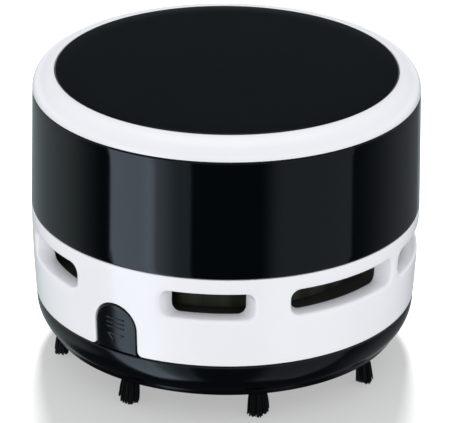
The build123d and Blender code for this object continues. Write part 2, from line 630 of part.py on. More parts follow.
def motor_armature():
    low = DECK_TOP + ARMATURE_FOOT
    core = pipe(ARMATURE_R, SHAFT_R, low, low + ARMATURE_LENGTH)
    for index in range(3):
        slot = block(-SLOT_WIDTH / 2, SLOT_WIDTH / 2, -REACH, SLOT_DEPTH - ARMATURE_R, 0, REACH)
        core -= at(slot, index * 120)
    top = low + ARMATURE_LENGTH
    commutator = pipe(COMMUTATOR_R, SHAFT_R, top, top + COMMUTATOR_LENGTH)
    return core + commutator


def motor_shaft():
    return post(SHAFT_R, FAN_FOOT + HUB_CAP, MOTOR_TOP + CAP_THICK)


def motor_end_cap():
    cap = can_outline(0, MOTOR_TOP, MOTOR_TOP + CAP_THICK)
    cap += can_outline(-MOTOR_WALL - FIT, MOTOR_TOP - CAP_PLUG, MOTOR_TOP + LAP)
    cap += post(MOTOR_NOSE_R, MOTOR_TOP + CAP_THICK - LAP, MOTOR_TOP + CAP_THICK + CAP_BOSS)
    return cap - post(SHAFT_R + FIT, 0, MOTOR_TOP + CAP_THICK + FIT)


def motor_terminals():
    wide, thick, tall = TERMINAL
    low = MOTOR_TOP + CAP_THICK
    tag = block(-wide / 2, wide / 2, TERMINAL_Y - thick / 2, TERMINAL_Y + thick / 2, low, low + tall)
    return [at(tag, 0), at(tag, 180)]


def clamp_levels():
    foot = DECK_TOP + SCREW_BITE
    top = MOTOR_TOP + CAP_THICK
    return foot, top


def motor_clamp():
    """Strap over the motor with a foot on each side, screwed to the deck's posts."""
    foot, top = clamp_levels()
    half = CLAMP_WIDTH / 2
    out = MOTOR_RADIUS + CLAMP_GAP + CLAMP_THICK
    strap = block(-out, out, -half, half, foot, top + CLAMP_THICK)
    strap -= block(-out + CLAMP_THICK, out - CLAMP_THICK, -REACH, REACH, 0, top)
    for side in (-1, 1):
        x0, x1 = sorted((side * out, side * (out + CLAMP_FOOT)))
        strap += block(x0, x1, -half, half, foot, foot + CLAMP_THICK)
        strap -= post(SCREW_R + SCREW_PLAY, 0, REACH, x=side * CLAMP_X)
    return strap - post(MOTOR_NOSE_R + SCREW_PLAY, 0, REACH)


# --- batteries, contacts and springs ---------------------------------------------------

def cell_side(index):
    """+1 or -1: the side of the motor that the cell lies on, and where its nub points."""
    return 1 if index == 0 else -1


def battery_cell(index):
    side = cell_side(index)
    start = -CELL_BODY / 2 + CELL_SHIFT
    body = Pos(start + CELL_BODY / 2, 0, 0) * Rot(Y=90) * Cylinder(CELL_R, CELL_BODY)
    body = fillet(body.edges().filter_by(GeomType.CIRCLE), CELL_EDGE)
    nub = Pos(start + CELL_BODY + CELL_NUB / 2, 0, 0) * Rot(Y=90) * Cylinder(CELL_NUB_R, CELL_NUB)
    lying = body + nub
    return Pos(0, -side * CELL_Y, CELL_Z) * Rot(Z=0 if side > 0 else 180) * lying


def battery_spring(index):
    """Conical coil between a cell's flat end and its contact, in short runs and arcs."""
    side = cell_side(index)
    reach = CONTACT_X - (CELL_BODY / 2 - CELL_SHIFT) - 2 * SPRING_WIRE_R - 0.1
    count = SPRING_TURNS * SPRING_SIDES
    points = []
    for step in range(count + 1):
        share = step / count
        radius = SPRING_R + share * (SPRING_TIP_R - SPRING_R)
        turn = radians(360 * step / SPRING_SIDES)
        points.append((reach * share, radius * cos(turn), radius * sin(turn)))
    coil = wire_along(points, SPRING_WIRE_R)
    return Rot(Z=0 if side > 0 else 180) * Pos(-CONTACT_X + SPRING_WIRE_R + 0.05, -CELL_Y, CELL_Z) * coil


def contact_leaf(y0, y1):
    return block(CONTACT_X, CONTACT_X + CONTACT_THICK, y0, y1, DECK_TOP + 0.5, CONTACT_TOP - 0.5)


def contact_bump(y):
    gap = CONTACT_X - (CELL_BODY / 2 + CELL_SHIFT + CELL_NUB)
    return Pos(CONTACT_X - gap / 2 + 0.05, y, CELL_Z) * Rot(Y=-90) * Cone(3.4, 2.6, gap - 0.0)


def contact_bridge():
    """One strip joins both cells at the -X end, notched round the motor."""
    half = CONTACT_WIDTH / 2
    strip = contact_leaf(-CELL_Y - half, -CELL_Y + half) + contact_leaf(CELL_Y - half, CELL_Y + half)
    joint_low = CONTACT_TOP - 4.5
    strip += block(CONTACT_X, CONTACT_X + CONTACT_THICK, -CELL_Y, CELL_Y, joint_low, CONTACT_TOP - 0.5)
    return Rot(Z=180) * (strip + contact_bump(-CELL_Y))


def contact_end(side):
    """Single contact at the +X end with a solder tag above its holder."""
    half = CONTACT_WIDTH / 2
    middle = side * CELL_Y
    strip = contact_leaf(middle - half, middle + half)
    near = middle - side * half
    y0, y1 = sorted((near, near + side * TAG_WIDTH))
    strip += block(CONTACT_X, CONTACT_X + CONTACT_THICK, y0, y1, CONTACT_TOP - 1, CONTACT_TOP + TAG_RISE)
    return strip + contact_bump(middle) if side < 0 else strip


# --- switch ----------------------------------------------------------------------------

def switch_block(wide, y0, y1, high, x=0.0):
    """Block centred on the switch's height."""
    return block(x - wide / 2, x + wide / 2, y0, y1, SWITCH_Z - high / 2, SWITCH_Z + high / 2)


def switch_body():
    wide, deep, high = SWITCH_BODY
    back = SWITCH_FRONT_Y - deep
    body = switch_block(wide, back, SWITCH_FRONT_Y, high)
    body -= switch_block(SWITCH_TRAVEL + LEVER[0] + 2 * PLAY, SWITCH_FRONT_Y - LEVER[1] - PLAY, REACH,
                         LEVER[2] + 2 * PLAY)
    for x in SWITCH_PINS:
        body += switch_block(SWITCH_PIN[0], back - SWITCH_PIN[1], back + LAP, SWITCH_PIN[2], x)
    return body


def switch_knob():
    foot = POCKET_FLOOR_Y + PLAY
    face = foot + KNOB_CAP[1]
    flange = SWITCH_FRONT_Y + PLAY
    cap = switch_block(KNOB_CAP[0], foot, face, KNOB_CAP[2])
    knob = fillet(cap.edges().filter_by(Axis.Y), KNOB_CORNER)
    for x in KNOB_RIBS:
        knob += switch_block(KNOB_RIB[0], face - LAP, face + KNOB_RIB[1], KNOB_RIB[2], x)
    knob += switch_block(KNOB_NECK[0], flange, foot + LAP, KNOB_NECK[1])
    knob += switch_block(KNOB_FLANGE[0], flange, flange + KNOB_FLANGE[1], KNOB_FLANGE[2])
    knob += switch_block(LEVER[0], SWITCH_FRONT_Y - LEVER[1], flange + LAP, LEVER[2])
    return Pos(-SWITCH_TRAVEL / 2, 0, 0) * knob


# --- filter and screws -----------------------------------------------------------------

def filter_levels():
    """Foot of the frame, foot of the mesh, top of the frame's wall."""
    mesh_foot = PLATE_TOP - PLATE_THICK - COLLAR_DROP - PLAY - FILTER_MESH
    return mesh_foot - FILTER_GRIP, mesh_foot, PLATE_TOP - PLATE_THICK - PLAY


def filter_frame():
    foot, mesh_foot, top = filter_levels()
    inner = COLLAR_RADIUS + FIT
    frame = pipe(inner + FILTER_WALL, inner, foot, top)
    frame += pipe(inner + LAP, inner - FILTER_LEDGE, foot, mesh_foot)
    half = FILTER_SPOKE / 2
    spoke = block(-inner, inner, -half, half, foot, mesh_foot)
    return frame + spoke + at(spoke, 90)


def filter_mesh():
    foot, mesh_foot, top = filter_levels()
    return post(COLLAR_RADIUS - LAP, mesh_foot, mesh_foot + FILTER_MESH)


def screw(head_low, tip, x, y):
    """Pan-head screw; the tip may point up or down from the head."""
    head = post(SCREW_HEAD_R, head_low, head_low + SCREW_HEAD, x, y)
    low, high = (head_low + SCREW_HEAD - LAP, tip) if tip > head_low else (tip, head_low + LAP)
    return head + post(SCREW_R, low, high, x, y)


def ring_of_screws(angles, head_low, tip):
    return [at(screw(head_low, tip, 0, -BOSS_RING), angle) for angle in angles]


def band_screws():
    head = BAND_FOOT - SEAM - EAR_THICK - SCREW_HEAD
    return ring_of_screws(EAR_ANGLES, head, DECK_TOP + SCREW_BITE - TIP_ROOM)


def plate_screws():
    head = PLATE_TOP - PLATE_THICK - SCREW_HEAD
    return ring_of_screws(BOSS_ANGLES, head, PLATE_TOP + SCREW_BITE - TIP_ROOM)


def clamp_screws():
    foot, top = clamp_levels()
    return [screw(foot + CLAMP_THICK, DECK_TOP + TIP_ROOM, side * CLAMP_X, 0) for side in (-1, 1)]


# --- top cover -------------------------------------------------------------------------

def top_cover():
    skirt_out = R_BAND_INNER_TOP - LEDGE_REACH - PLAY
    skirt_in = skirt_out - SKIRT_WALL
    skirt_foot = BAND_TOP - SKIRT_DEPTH
    recess = COVER_TOP - DISC_THICK
    under = recess - COVER_PLATE
    crest, rim, chamfer = R_DISC + CREST_WIDTH, R_DISC + FIT, COVER_TOP - CREST_DROP
    cover = turned(
        Polyline((rim, chamfer), (rim, recess), (0, recess), (0, under), (skirt_in, under),
                 (skirt_in, skirt_foot), (skirt_out, skirt_foot), (skirt_out, BAND_TOP), (R_BAND_TOP, BAND_TOP)),
        SagittaArc((R_BAND_TOP, BAND_TOP), (crest, COVER_TOP), -BEZEL_BULGE),
        Line((crest, COVER_TOP), (rim, chamfer)))
    for index in range(LUG_COUNT):
        cover += sector(R_BAND_INNER_TOP - PLAY, skirt_out - LAP, skirt_foot, skirt_foot + LUG_HEIGHT,
                        index * 360 / LUG_COUNT, LUG_ARC)
    return cover


def top_disc():
    disc = post(R_DISC, COVER_TOP - DISC_THICK, COVER_TOP + DISC_PROUD)
    return fillet(disc.edges().group_by(Axis.Z)[-1], DISC_EDGE)


# --- inner leads -----------------------------------------------------------------------

def lead_routes():
    """Three leads from tag to tag, in the free room over the cells and the clamp."""
    tag_y, tag_z = CELL_Y - CONTACT_WIDTH / 2 + TAG_WIDTH / 2, CONTACT_TOP + TAG_RISE - 0.7
    pin_x, pin_y, pin_z = SWITCH_PINS[2], SWITCH_FRONT_Y - SWITCH_BODY[1] - 1.8, SWITCH_Z + 0.3
    end_y, end_z = TERMINAL_Y + 0.1, MOTOR_TOP + CAP_THICK + 0.8
    return {
        "lead_motor_to_switch": [
            (0, end_y, end_z), (0, end_y + 6.8, end_z - 0.1), (0, pin_y - 10.1, pin_z + 9.2),
            (0, pin_y - 3.3, pin_z + 4.5), (0, pin_y, pin_z)],
        "lead_battery_to_switch": [
            (CONTACT_X, tag_y, tag_z), (CONTACT_X - 3.3, tag_y + 3.4, tag_z + 3.4),
            (CONTACT_X - 10.7, pin_y - 6.1, tag_z + 4.2), (pin_x + 5.2, pin_y - 1.9, pin_z + 4.9),
            (pin_x, pin_y + 0.1, pin_z)],
        "lead_battery_to_motor": [
            (CONTACT_X, -tag_y, tag_z), (CONTACT_X - 3.5, 2.2 - tag_y, tag_z + 3.8),
            (CONTACT_X - 10.7, 5.6 - tag_y, end_z - 1.4), (8.5, -end_y - 2.7, end_z),
            (0.3, -end_y - 0.1, end_z + 0.1)],
    }


def all_parts():
    parts = {"dust_tray": dust_tray(), "release_tab": release_tab(), "vent_ring": vent_ring()}
    for index in range(TUFT_COUNT):
        parts[f"brush_tuft_{index + 1}"] = brush_tuft(index)
    parts.update(housing_band=housing_band(), motor_deck=motor_deck(), fan_shroud=fan_shroud(),
                 fan_inlet_plate=fan_inlet_plate(), filter_frame=filter_frame(), filter_mesh=filter_mesh(),
                 impeller=impeller(), motor_shaft=motor_shaft(), motor_armature=motor_armature(),
                 motor_can=motor_can(), motor_magnets=motor_magnets(), motor_end_cap=motor_end_cap(),
                 motor_terminals=motor_terminals(), motor_clamp=motor_clamp(), clamp_screws=clamp_screws(),
                 band_screws=band_screws(), plate_screws=plate_screws(),
                 battery_cell_1=battery_cell(0), battery_cell_2=battery_cell(1),
                 battery_spring_1=battery_spring(0), battery_spring_2=battery_spring(1),
                 contact_bridge=contact_bridge(), contact_positive=contact_end(-1),
                 contact_negative=contact_end(1), switch_body=switch_body(), switch_knob=switch_knob(),
                 top_cover=top_cover(), top_disc=top_disc())
    for name, points in lead_routes().items():
        parts[name] = wire_along(points, LEAD_R)
    return parts


def write_parts():
    os.makedirs("parts", exist_ok=True)
    for name, shape in all_parts().items():
        solids = shape if isinstance(shape, list) else [shape]
        found = [solid for item in solids for solid in item.solids()]
        whole = Compound(children=found, label=name) if len(found) > 1 else found[0]
        export_step(whole, f"parts/{name}.step")


write_parts()
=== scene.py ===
import json
import math
import random

import bmesh
import bpy
from mathutils import Matrix, Vector
from mathutils.geometry import delaunay_2d_cdt


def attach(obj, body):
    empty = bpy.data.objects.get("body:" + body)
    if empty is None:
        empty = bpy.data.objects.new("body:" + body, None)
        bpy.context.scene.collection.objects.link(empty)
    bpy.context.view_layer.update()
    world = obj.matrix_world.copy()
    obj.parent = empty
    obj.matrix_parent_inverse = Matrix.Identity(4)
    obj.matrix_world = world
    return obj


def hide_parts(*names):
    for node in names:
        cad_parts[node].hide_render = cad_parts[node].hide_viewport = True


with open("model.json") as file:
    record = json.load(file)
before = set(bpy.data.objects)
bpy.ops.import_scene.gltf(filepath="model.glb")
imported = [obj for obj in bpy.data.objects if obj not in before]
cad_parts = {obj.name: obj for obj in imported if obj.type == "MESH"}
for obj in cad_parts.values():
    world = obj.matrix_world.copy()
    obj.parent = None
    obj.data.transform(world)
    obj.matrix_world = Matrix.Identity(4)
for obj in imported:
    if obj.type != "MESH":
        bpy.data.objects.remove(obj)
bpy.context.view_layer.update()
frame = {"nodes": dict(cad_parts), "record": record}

MM = 0.001
NODES = frame["nodes"]

# --- sizes in millimetres: Z from the brush tips up, radii about the body's middle ---------
TRAY_FOOT, RING_FOOT, BAND_FOOT, BAND_TOP, COVER_TOP = 5.8, 14.3, 34.9, 61.3, 65.6
R_TRAY_TOP, R_RING_FOOT, R_BAND_FOOT, R_BAND_TOP, R_DISC = 41.6, 41.7, 42.5, 42.0, 37.15
RING_BOW, BEZEL_BOW, TRAY_BOW = 0.18, 1.3, 0.75      # how far a side swells past straight
SEAM = 0.1                                           # gap between two housings
# vent ring: thick belt with the slots, thin skirt below it, screw ears, notch for the tab
BELT_INNER, SKIRT_INNER, BELT_FOOT, BELT_SLOPE = 38.5, 39.9, 23.6, 1.4
SILL, VENT_HEIGHT, VENT_CORNER, THROAT_CORNER = 25.3, 6.0, 2.2, 1.9
VENTS = ((28.6, 14.2, 11.6), (72.1, 19.3, 17.4))     # degrees: middle, half span outside, inside
VENT_MIRROR = 93.3                                   # bearing about which the slots mirror
MOUTH_EASE, THROAT_EASE, RING_TOP_EASE, RING_FOOT_EASE = 0.75, 0.25, 0.25, 0.4
EAR_HALF, EAR_CIRCLE, EAR_THICK = 3.3, 35.1, 1.8
NOTCH_WIDTH, NOTCH_TOP, NOTCH_FOOT = 10.8, 25.7, 1.3
# band: pocket for the switch, and the window for its knob in the pocket's floor
BAND_WALL, POCKET_R = 1.8, 42.2                      # POCKET_R: the band's radius at the pocket
POCKET_WIDE, POCKET_HIGH, POCKET_CORNER, POCKET_FLOOR, SWITCH_Z = 16.4, 9.0, 2.0, 40.4, 48.0
WINDOW_HALF, WINDOW_TALL, WINDOW_CORNER, WINDOW_DEEP = 4.85, 1.85, 0.4, 1.3
# cover: skirt inside the band, plate under the disc, bayonet lugs (LUG_HALF in degrees)
COVER_SKIRT_R, COVER_SKIRT_INNER, COVER_SKIRT_DEEP, COVER_PLATE = 38.8, 37.4, 4.9, 1.5
LUG_R, LUG_ROOT, LUG_TALL, LUG_HALF, LUGS = 39.9, 38.6, 1.5, 7, 3
DISC_DEEP, DISC_PROUD, DISC_PLAY = 1.5, 0.1, 0.02
# fan shroud and its outlets
SHROUD_R, SHROUD_WALL, SHROUD_FOOT = 31.6, 1.4, 23.3
OUTLETS, OUTLET_WIDE, OUTLET_TALL, OUTLET_DROP = 12, 11.0, 3.6, 1.2
# dust tray: mouth and duct, floor, spigot that enters the ring, ears that hold the tab's pin
MOUTH_LONG, MOUTH_WIDE, DUCT_TOP, DUCT_WALL = 30.0, 9.0, 12.5, 1.4
FLOOR_R, FLOOR_LOW, FLOOR_TOP = 30.0, 7.2, 8.9
SPIGOT_R, SPIGOT_TOP, TRAY_WALL = 39.6, 20.6, 1.4
BRUSH_LAND = ((31.2, FLOOR_LOW), (31.7, FLOOR_LOW - 0.12), (32.8, TRAY_FOOT + 0.12),
              (33.3, TRAY_FOOT), (38.0, TRAY_FOOT), (38.3, TRAY_FOOT + 0.08),
              (38.46, TRAY_FOOT + 0.3), (38.75, 7.05), (38.85, 7.25), (39.02, 7.34))
SIDE_START = (39.2, 7.5)                             # radius and height, as in BRUSH_LAND
TRAY_EAR_FAR, TRAY_EAR_RISE = 8.6, 2.2
# release tab: head, lip behind the belt, knuckle on the pin, marks on its face
PIN_Y, PIN_Z, PIN_R, PIN_REACH = -38.0, 15.7, 0.8, 7.2
TAB_RECESS, TAB_THICK, TAB_PLAY, TAB_TOP_PLAY = 0.15, 1.5, 0.2, 0.45
HEAD_DROP, LIP_PLAY, LIP_HALF, LIP_THICK = 3.2, 0.3, 2.6, 1.1
BRIDGE_TALL, KNUCKLE_RISE, LIP_RISE = 1.4, 1.4, 1.4
GRIP_BARS, BAR_LEVEL, BAR_PITCH, BAR_HALF, BAR_TALL = 3, 19.9, 1.05, 2.3, 0.4
ARROW, ARROW_MIDDLE, ARROW_LINE = ((-2.2, 18.4), (0, 16.0), (2.2, 18.4)), (0, 17.6), 0.3
# brush tufts: half width and half depth of socket and tip, and their distance from the middle
TUFTS, BRISTLES, BRISTLE_SIDES, BRISTLE_STEPS = 8, 130, 5, 5
SOCKET_HALF, SOCKET_Y, TIP_HALF, TIP_Y = (1.62, 1.08), -35.9, (2.45, 1.4), -36.8

TURN_STEPS = 256                                     # flat sides round a turned piece
SCALE = 42.0                                         # radius at which angles are laid out flat
ROUND = math.pi * SCALE                              # half the length of the unrolled ring
NEARLY_STRAIGHT = math.radians(88)                   # half angle of a corner left as it is
TINY = 1e-9
MERGE_BELOW, DROP_BELOW = 1e-7, 1e-8                 # metres: doubled points, lost edges


# --- outlines ------------------------------------------------------------------------------

def polar(radius, degrees, x=0.0, y=0.0):
    """Point on a circle about (x, y), at an angle in degrees."""
    angle = math.radians(degrees)
    return x + radius * math.cos(angle), y + radius * math.sin(angle)


def rounded(points, radii, steps=6):
    """Closed outline with its corners rounded; radii is one radius, or one for each corner."""
    out = []
    count = len(points)
    for i, here in enumerate(points):
        radius = radii[i] if isinstance(radii, (list, tuple)) else radii
        here, before, after = Vector(here), Vector(points[i - 1]), Vector(points[(i + 1) % count])
        a, b = before - here, after - here
        if radius <= 0 or min(a.length, b.length) < TINY or a.angle(b) / 2 > NEARLY_STRAIGHT:
            out.append((here.x, here.y))
            continue
        half = a.angle(b) / 2
        back = min(radius / math.tan(half), 0.49 * a.length, 0.49 * b.length)
        radius = back * math.tan(half)
        middle = here + (a.normalized() + b.normalized()).normalized() * (radius / math.sin(half))
        p, q = here + a.normalized() * back - middle, here + b.normalized() * back - middle
        sweep = p.angle_signed(q)
        for k in range(steps + 1):
            c, s = math.cos(-sweep * k / steps), math.sin(-sweep * k / steps)
            out.append((middle.x + c * p.x - s * p.y, middle.y + s * p.x + c * p.y))
    return out


def bow(start, end, sagitta, steps):
    """Points of an arc from start to end, bowed to the right of the way by the sagitta."""
    a, b = Vector(start), Vector(end)
    half = (b - a).length / 2
    radius = (half * half + sagitta * sagitta) / (2 * sagitta)
    side = Vector(((b - a).y, -(b - a).x)).normalized()
    centre = (a + b) / 2 - side * (radius - sagitta)
    first = math.atan2(a.y - centre.y, a.x - centre.x)
    span = 2 * math.asin(min(half / radius, 1))
    return [(centre.x + radius * math.cos(first + span * k / steps),
             centre.y + radius * math.sin(first + span * k / steps)) for k in range(steps + 1)]


def offset_loop(loop, amount, closed=True):
    """Moves a path's points to the left of its way, in arc length and height."""
    out, n = [], len(loop)
    for i, (s, z) in enumerate(loop):
        a = loop[(i - 1) % n] if closed or i > 0 else (s - 1, z)
        b = loop[(i + 1) % n] if closed or i < n - 1 else (s + 1, z)
        d = Vector((b[0] - a[0], b[1] - a[1])).normalized()
        out.append((s - d.y * amount, z + d.x * amount))
    return out


def inside(point, loop):
    """Whether a point lies in a closed loop."""
    x, y = point
    hit = False
    for i, (x1, y1) in enumerate(loop):
        x0, y0 = loop[i - 1]
        if (y0 > y) != (y1 > y) and x < (x1 - x0) * (y - y0) / (y1 - y0) + x0:
            hit = not hit
    return hit


def slot_loop(middle, half, low, high, corner, steps=6, run=10):
    """Rounded slot round a middle angle, anticlockwise in arc length and height."""
    w, m = math.radians(half) * SCALE, math.radians(middle) * SCALE
    centres = ((w - corner, low + corner), (w - corner, high - corner),
               (-w + corner, high - corner), (-w + corner, low + corner))
    side_ends = ((w, high - corner), (-w + corner, high), (-w, low + corner), (w - corner, low))
    loop = []
    for k, ((cx, cz), (ex, ez)) in enumerate(zip(centres, side_ends)):
        loop += [polar(corner, -90 + 90 * k + 90 * i / steps, m + cx, cz) for i in range(steps + 1)]
        s, z = loop[-1]
        loop += [(s + (m + ex - s) * i / run, z + (ez - z) * i / run) for i in range(1, run)]
    return loop


def stadium(long, wide, steps=12):
    """Outline of two half circles joined by straight sides."""
    r = wide / 2
    half_turn = [polar(r, -90 + 180 * k / steps, long / 2 - r) for k in range(steps + 1)]
    return half_turn + [(-x, -y) for x, y in half_turn]


def arch_loop(width, foot, top, steps=24):
    """Closed arch with a level foot and a half circle for its top."""
    half = width / 2
    loop = [(-half + width * k / 10, foot) for k in range(10)]
    loop += [(half, foot + (top - half - foot) * k / 6) for k in range(6)]
    loop += [polar(half, 180 * k / steps, 0, top - half) for k in range(steps)]
    loop += [(-half, top - half + (foot - top + half) * k / 6) for k in range(6)]
    return loop


def level_path(z):
    """Level line once round the body, in arc length and height."""
    return [(-ROUND + 2 * ROUND * k / TURN_STEPS, z) for k in range(TURN_STEPS + 1)]


def notch_path(z, width, top, foot_radius, steps=8):
    """Lower edge of the vent ring: level, with an arched notch whose feet are rounded."""
    half, straight, arch, last_level = width / 2, 5, 3 * steps, 0.3
    path = [(s, z) for s, _ in level_path(z) if s < -half - foot_radius - last_level]
    path += [polar(foot_radius, 90 * k / steps - 90, -half - foot_radius, z + foot_radius)
             for k in range(steps + 1)]
    path += [(-half, z + foot_radius + (top - half - z - foot_radius) * k / straight)
             for k in range(1, straight)]
    crown = [polar(half, 180 - 180 * k / arch, 0, top - half) for k in range(arch + 1)]
    return path + crown + [(-s, h) for s, h in reversed(path)]


# --- meshes --------------------------------------------------------------------------------
# A shape is a pair (verts, faces), in millimetres.

def new_piece(name, shape, body, slot_name, smooth):
    """Object from a shape, shaded smooth below the angle in degrees, on its body and slot."""
    verts, faces = shape
    mesh = bpy.data.meshes.new(name)
    mesh.from_pydata([Vector(v) * MM for v in verts], [], faces)
    mesh.update()
    clean(mesh)
    piece = bpy.data.objects.new(name, mesh)
    bpy.context.scene.collection.objects.link(piece)
    mesh.materials.append(SLOT_MATERIALS[slot_name])
    for polygon in mesh.polygons:
        polygon.use_smooth = True
    mesh.set_sharp_from_angle(angle=math.radians(smooth))
    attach(piece, body)
    return piece


def clean(mesh):
    """Merges doubled points and turns all faces outwards."""
    bm = bmesh.new()
    bm.from_mesh(mesh)
    bmesh.ops.remove_doubles(bm, verts=bm.verts, dist=MERGE_BELOW)
    bmesh.ops.dissolve_degenerate(bm, edges=bm.edges, dist=DROP_BELOW)
    bmesh.ops.recalc_face_normals(bm, faces=bm.faces)
    bm.to_mesh(mesh)
    bm.free()


def spin(outline, start=0.0, end=360.0, steps=TURN_STEPS):
    """Turned shape from a closed outline in radius and height; angles in degrees."""
    full = end - start > 360.0 - TINY
    rows = steps if full else steps + 1
    verts, faces = [], []
    for k in range(rows):
        angle = math.radians(start + (end - start) * k / steps)
        s, c = math.sin(angle), math.cos(angle)
        verts += [(r * s, -r * c, z) for r, z in outline]
    n = len(outline)
    for k in range(steps):
        a, b = k * n, ((k + 1) % rows) * n
        faces += [[a + i, b + i, b + (i + 1) % n, a + (i + 1) % n] for i in range(n)]
    if not full:
        faces.append(list(range(n)))
        faces.append([(rows - 1) * n + i for i in reversed(range(n))])
    return verts, faces


def prism(low, high):
    """Shape between two loops of equal length, closed at both ends."""
    n = len(low)
    faces = [list(reversed(range(n))), list(range(n, 2 * n))]
    faces += [[i, (i + 1) % n, n + (i + 1) % n, n + i] for i in range(n)]
    return low + high, faces


def strip(rows, closed):
    """Quads between rows of points of equal length."""
    verts = [p for row in rows for p in row]
    n, faces = len(rows[0]), []
    for k in range(len(rows) - 1):
        for i in range(n if closed else n - 1):
            j = (i + 1) % n
            faces.append([k * n + i, k * n + j, (k + 1) * n + j, (k + 1) * n + i])
    return verts, faces


def joined(*shapes):
    """One shape from several."""
    verts, faces = [], []
    for more_verts, more_faces in shapes:
        base = len(verts)
        verts += more_verts
        faces += [[base + i for i in face] for face in more_faces]
    return verts, faces


def turned_about(shape, degrees):
    """Shape turned about the body's axis."""
    verts, faces = shape
    matrix = Matrix.Rotation(math.radians(degrees), 3, "Z")
    return [tuple(matrix @ Vector(v)) for v in verts], faces


def at_height(loop, z):
    """Flat loop laid level at a height."""
    return [(x, y, z) for x, y in loop]


def stepped(start, end, length):
    """Point at a length from the start, on the way to the end."""
    a, b = Vector(start), Vector(end)
    return tuple(a + (b - a).normalized() * length)


def edge_rows(face_row, corner_row, wall_row, steps=4):
    """Rows that round an edge off: from the face, past the corner, to the wall."""
    rows = []
    for k in range(steps + 1):
        t = k / steps
        shares = (1 - t) ** 2, 2 * t * (1 - t), t * t
        rows.append([tuple(shares[0] * Vector(a) + shares[1] * Vector(b) + shares[2] * Vector(c))
                     for a, b, c in zip(face_row, corner_row, wall_row)])
    return rows


def flat_fill(outline, holes, grid=()):
    """Flat triangles inside an outline and round its holes, with a grid of points inside."""
    points, edges = [], []
    for loop in [outline] + holes:
        first, count = len(points), len(loop)
        points += [Vector(p) for p in loop]
        edges += [(first + i, first + (i + 1) % count) for i in range(count)]
    made = delaunay_2d_cdt(points + [Vector(p) for p in grid], edges, [], 1, 1e-6)
    verts, faces = [tuple(v) for v in made[0]], []
    for face in made[2]:
        middle = (sum(verts[i][0] for i in face) / len(face),
                  sum(verts[i][1] for i in face) / len(face))
        if inside(middle, outline) and not any(inside(middle, hole) for hole in holes):
            faces.append(list(face))
    return verts, faces


def unrolled_side(bottom, top, end_heights, holes, rows):
    """Triangles between a bottom and a top path, round holes, with a grid of points inside."""
    left, right = bottom[0][0], bottom[-1][0]
    outline = list(bottom) + [(right, z) for z in end_heights] + list(reversed(top))
    outline += [(left, z) for z in reversed(end_heights)]
    gap = (right - left) / TURN_STEPS
    near = 0.35 * gap
    segments = [(loop[i - 1], loop[i]) for loop in [outline] + holes for i in range(len(loop))]

    def clear(p):
        for a, b in segments:
            if min(a[0], b[0]) - near < p[0] < max(a[0], b[0]) + near and \
                    min(a[1], b[1]) - near < p[1] < max(a[1], b[1]) + near:
                return False
        return inside(p, outline) and not any(inside(p, hole) for hole in holes)

    grid = [(left + k * gap, z) for z in rows for k in range(1, TURN_STEPS)]
    return flat_fill(outline, holes, [p for p in grid if clear(p)])


def profile_radius(points):
    """Function that gives the radius at a height, between the points of a profile."""
    table = sorted((z, r) for r, z in points)

    def radius(z):
        if z <= table[0][0]:
            return table[0][1]
        for (z0, r0), (z1, r1) in zip(table, table[1:]):
            if z <= z1:
                return r0 + (r1 - r0) * (z - z0) / (z1 - z0) if z1 > z0 else r1
        return table[-1][1]
    return radius


def wrap(points, radius, sink=0.0):
    """Unrolled points laid on a body of revolution, sunk below its surface."""
    laid = []
    for s, z in points:
        angle, r = s / SCALE, radius(z) - sink
        laid.append((r * math.sin(angle), -r * math.cos(angle), z))
    return laid


def wrapped(flat, radius):
    """Flat shape laid on a body of revolution."""
    verts, faces = flat
    return wrap(verts, radius), faces


def rim_rows(path, face_path, radius, ease):
    """Rows that round the outer edge of a rim, from its side to its end."""
    return edge_rows(wrap(face_path, radius), wrap(path, radius), wrap(path, radius, ease))


# --- vent ring -----------------------------------------------------------------------------
def vent_spans():
    """Middle bearing and the two half spans of every slot, in degrees."""
    return [(middle, outer, inner) for half_way, outer, inner in VENTS
            for middle in (half_way, 2 * VENT_MIRROR - half_way,
                           -half_way, -(2 * VENT_MIRROR - half_way))]


def vent_wall(mouth, wide, throat, narrow, outer, inner):
    """Wall of one slot, from its rounded mouth outside to its rounded throat inside."""
    mouth_row, throat_row = wrap(mouth, outer), wrap(throat, inner)
    pairs = list(zip(mouth_row, throat_row))
    inwards = [stepped(a, b, MOUTH_EASE) for a, b in pairs]
    outwards = [stepped(b, a, THROAT_EASE) for a, b in pairs]
    half_way = [tuple((Vector(a) + Vector(b)) / 2) for a, b in zip(inwards, outwards)]
    rows = edge_rows(wrap(wide, outer), mouth_row, inwards) + [half_way]
    return strip(rows + edge_rows(outwards, throat_row, wrap(narrow, inner), 3), True)


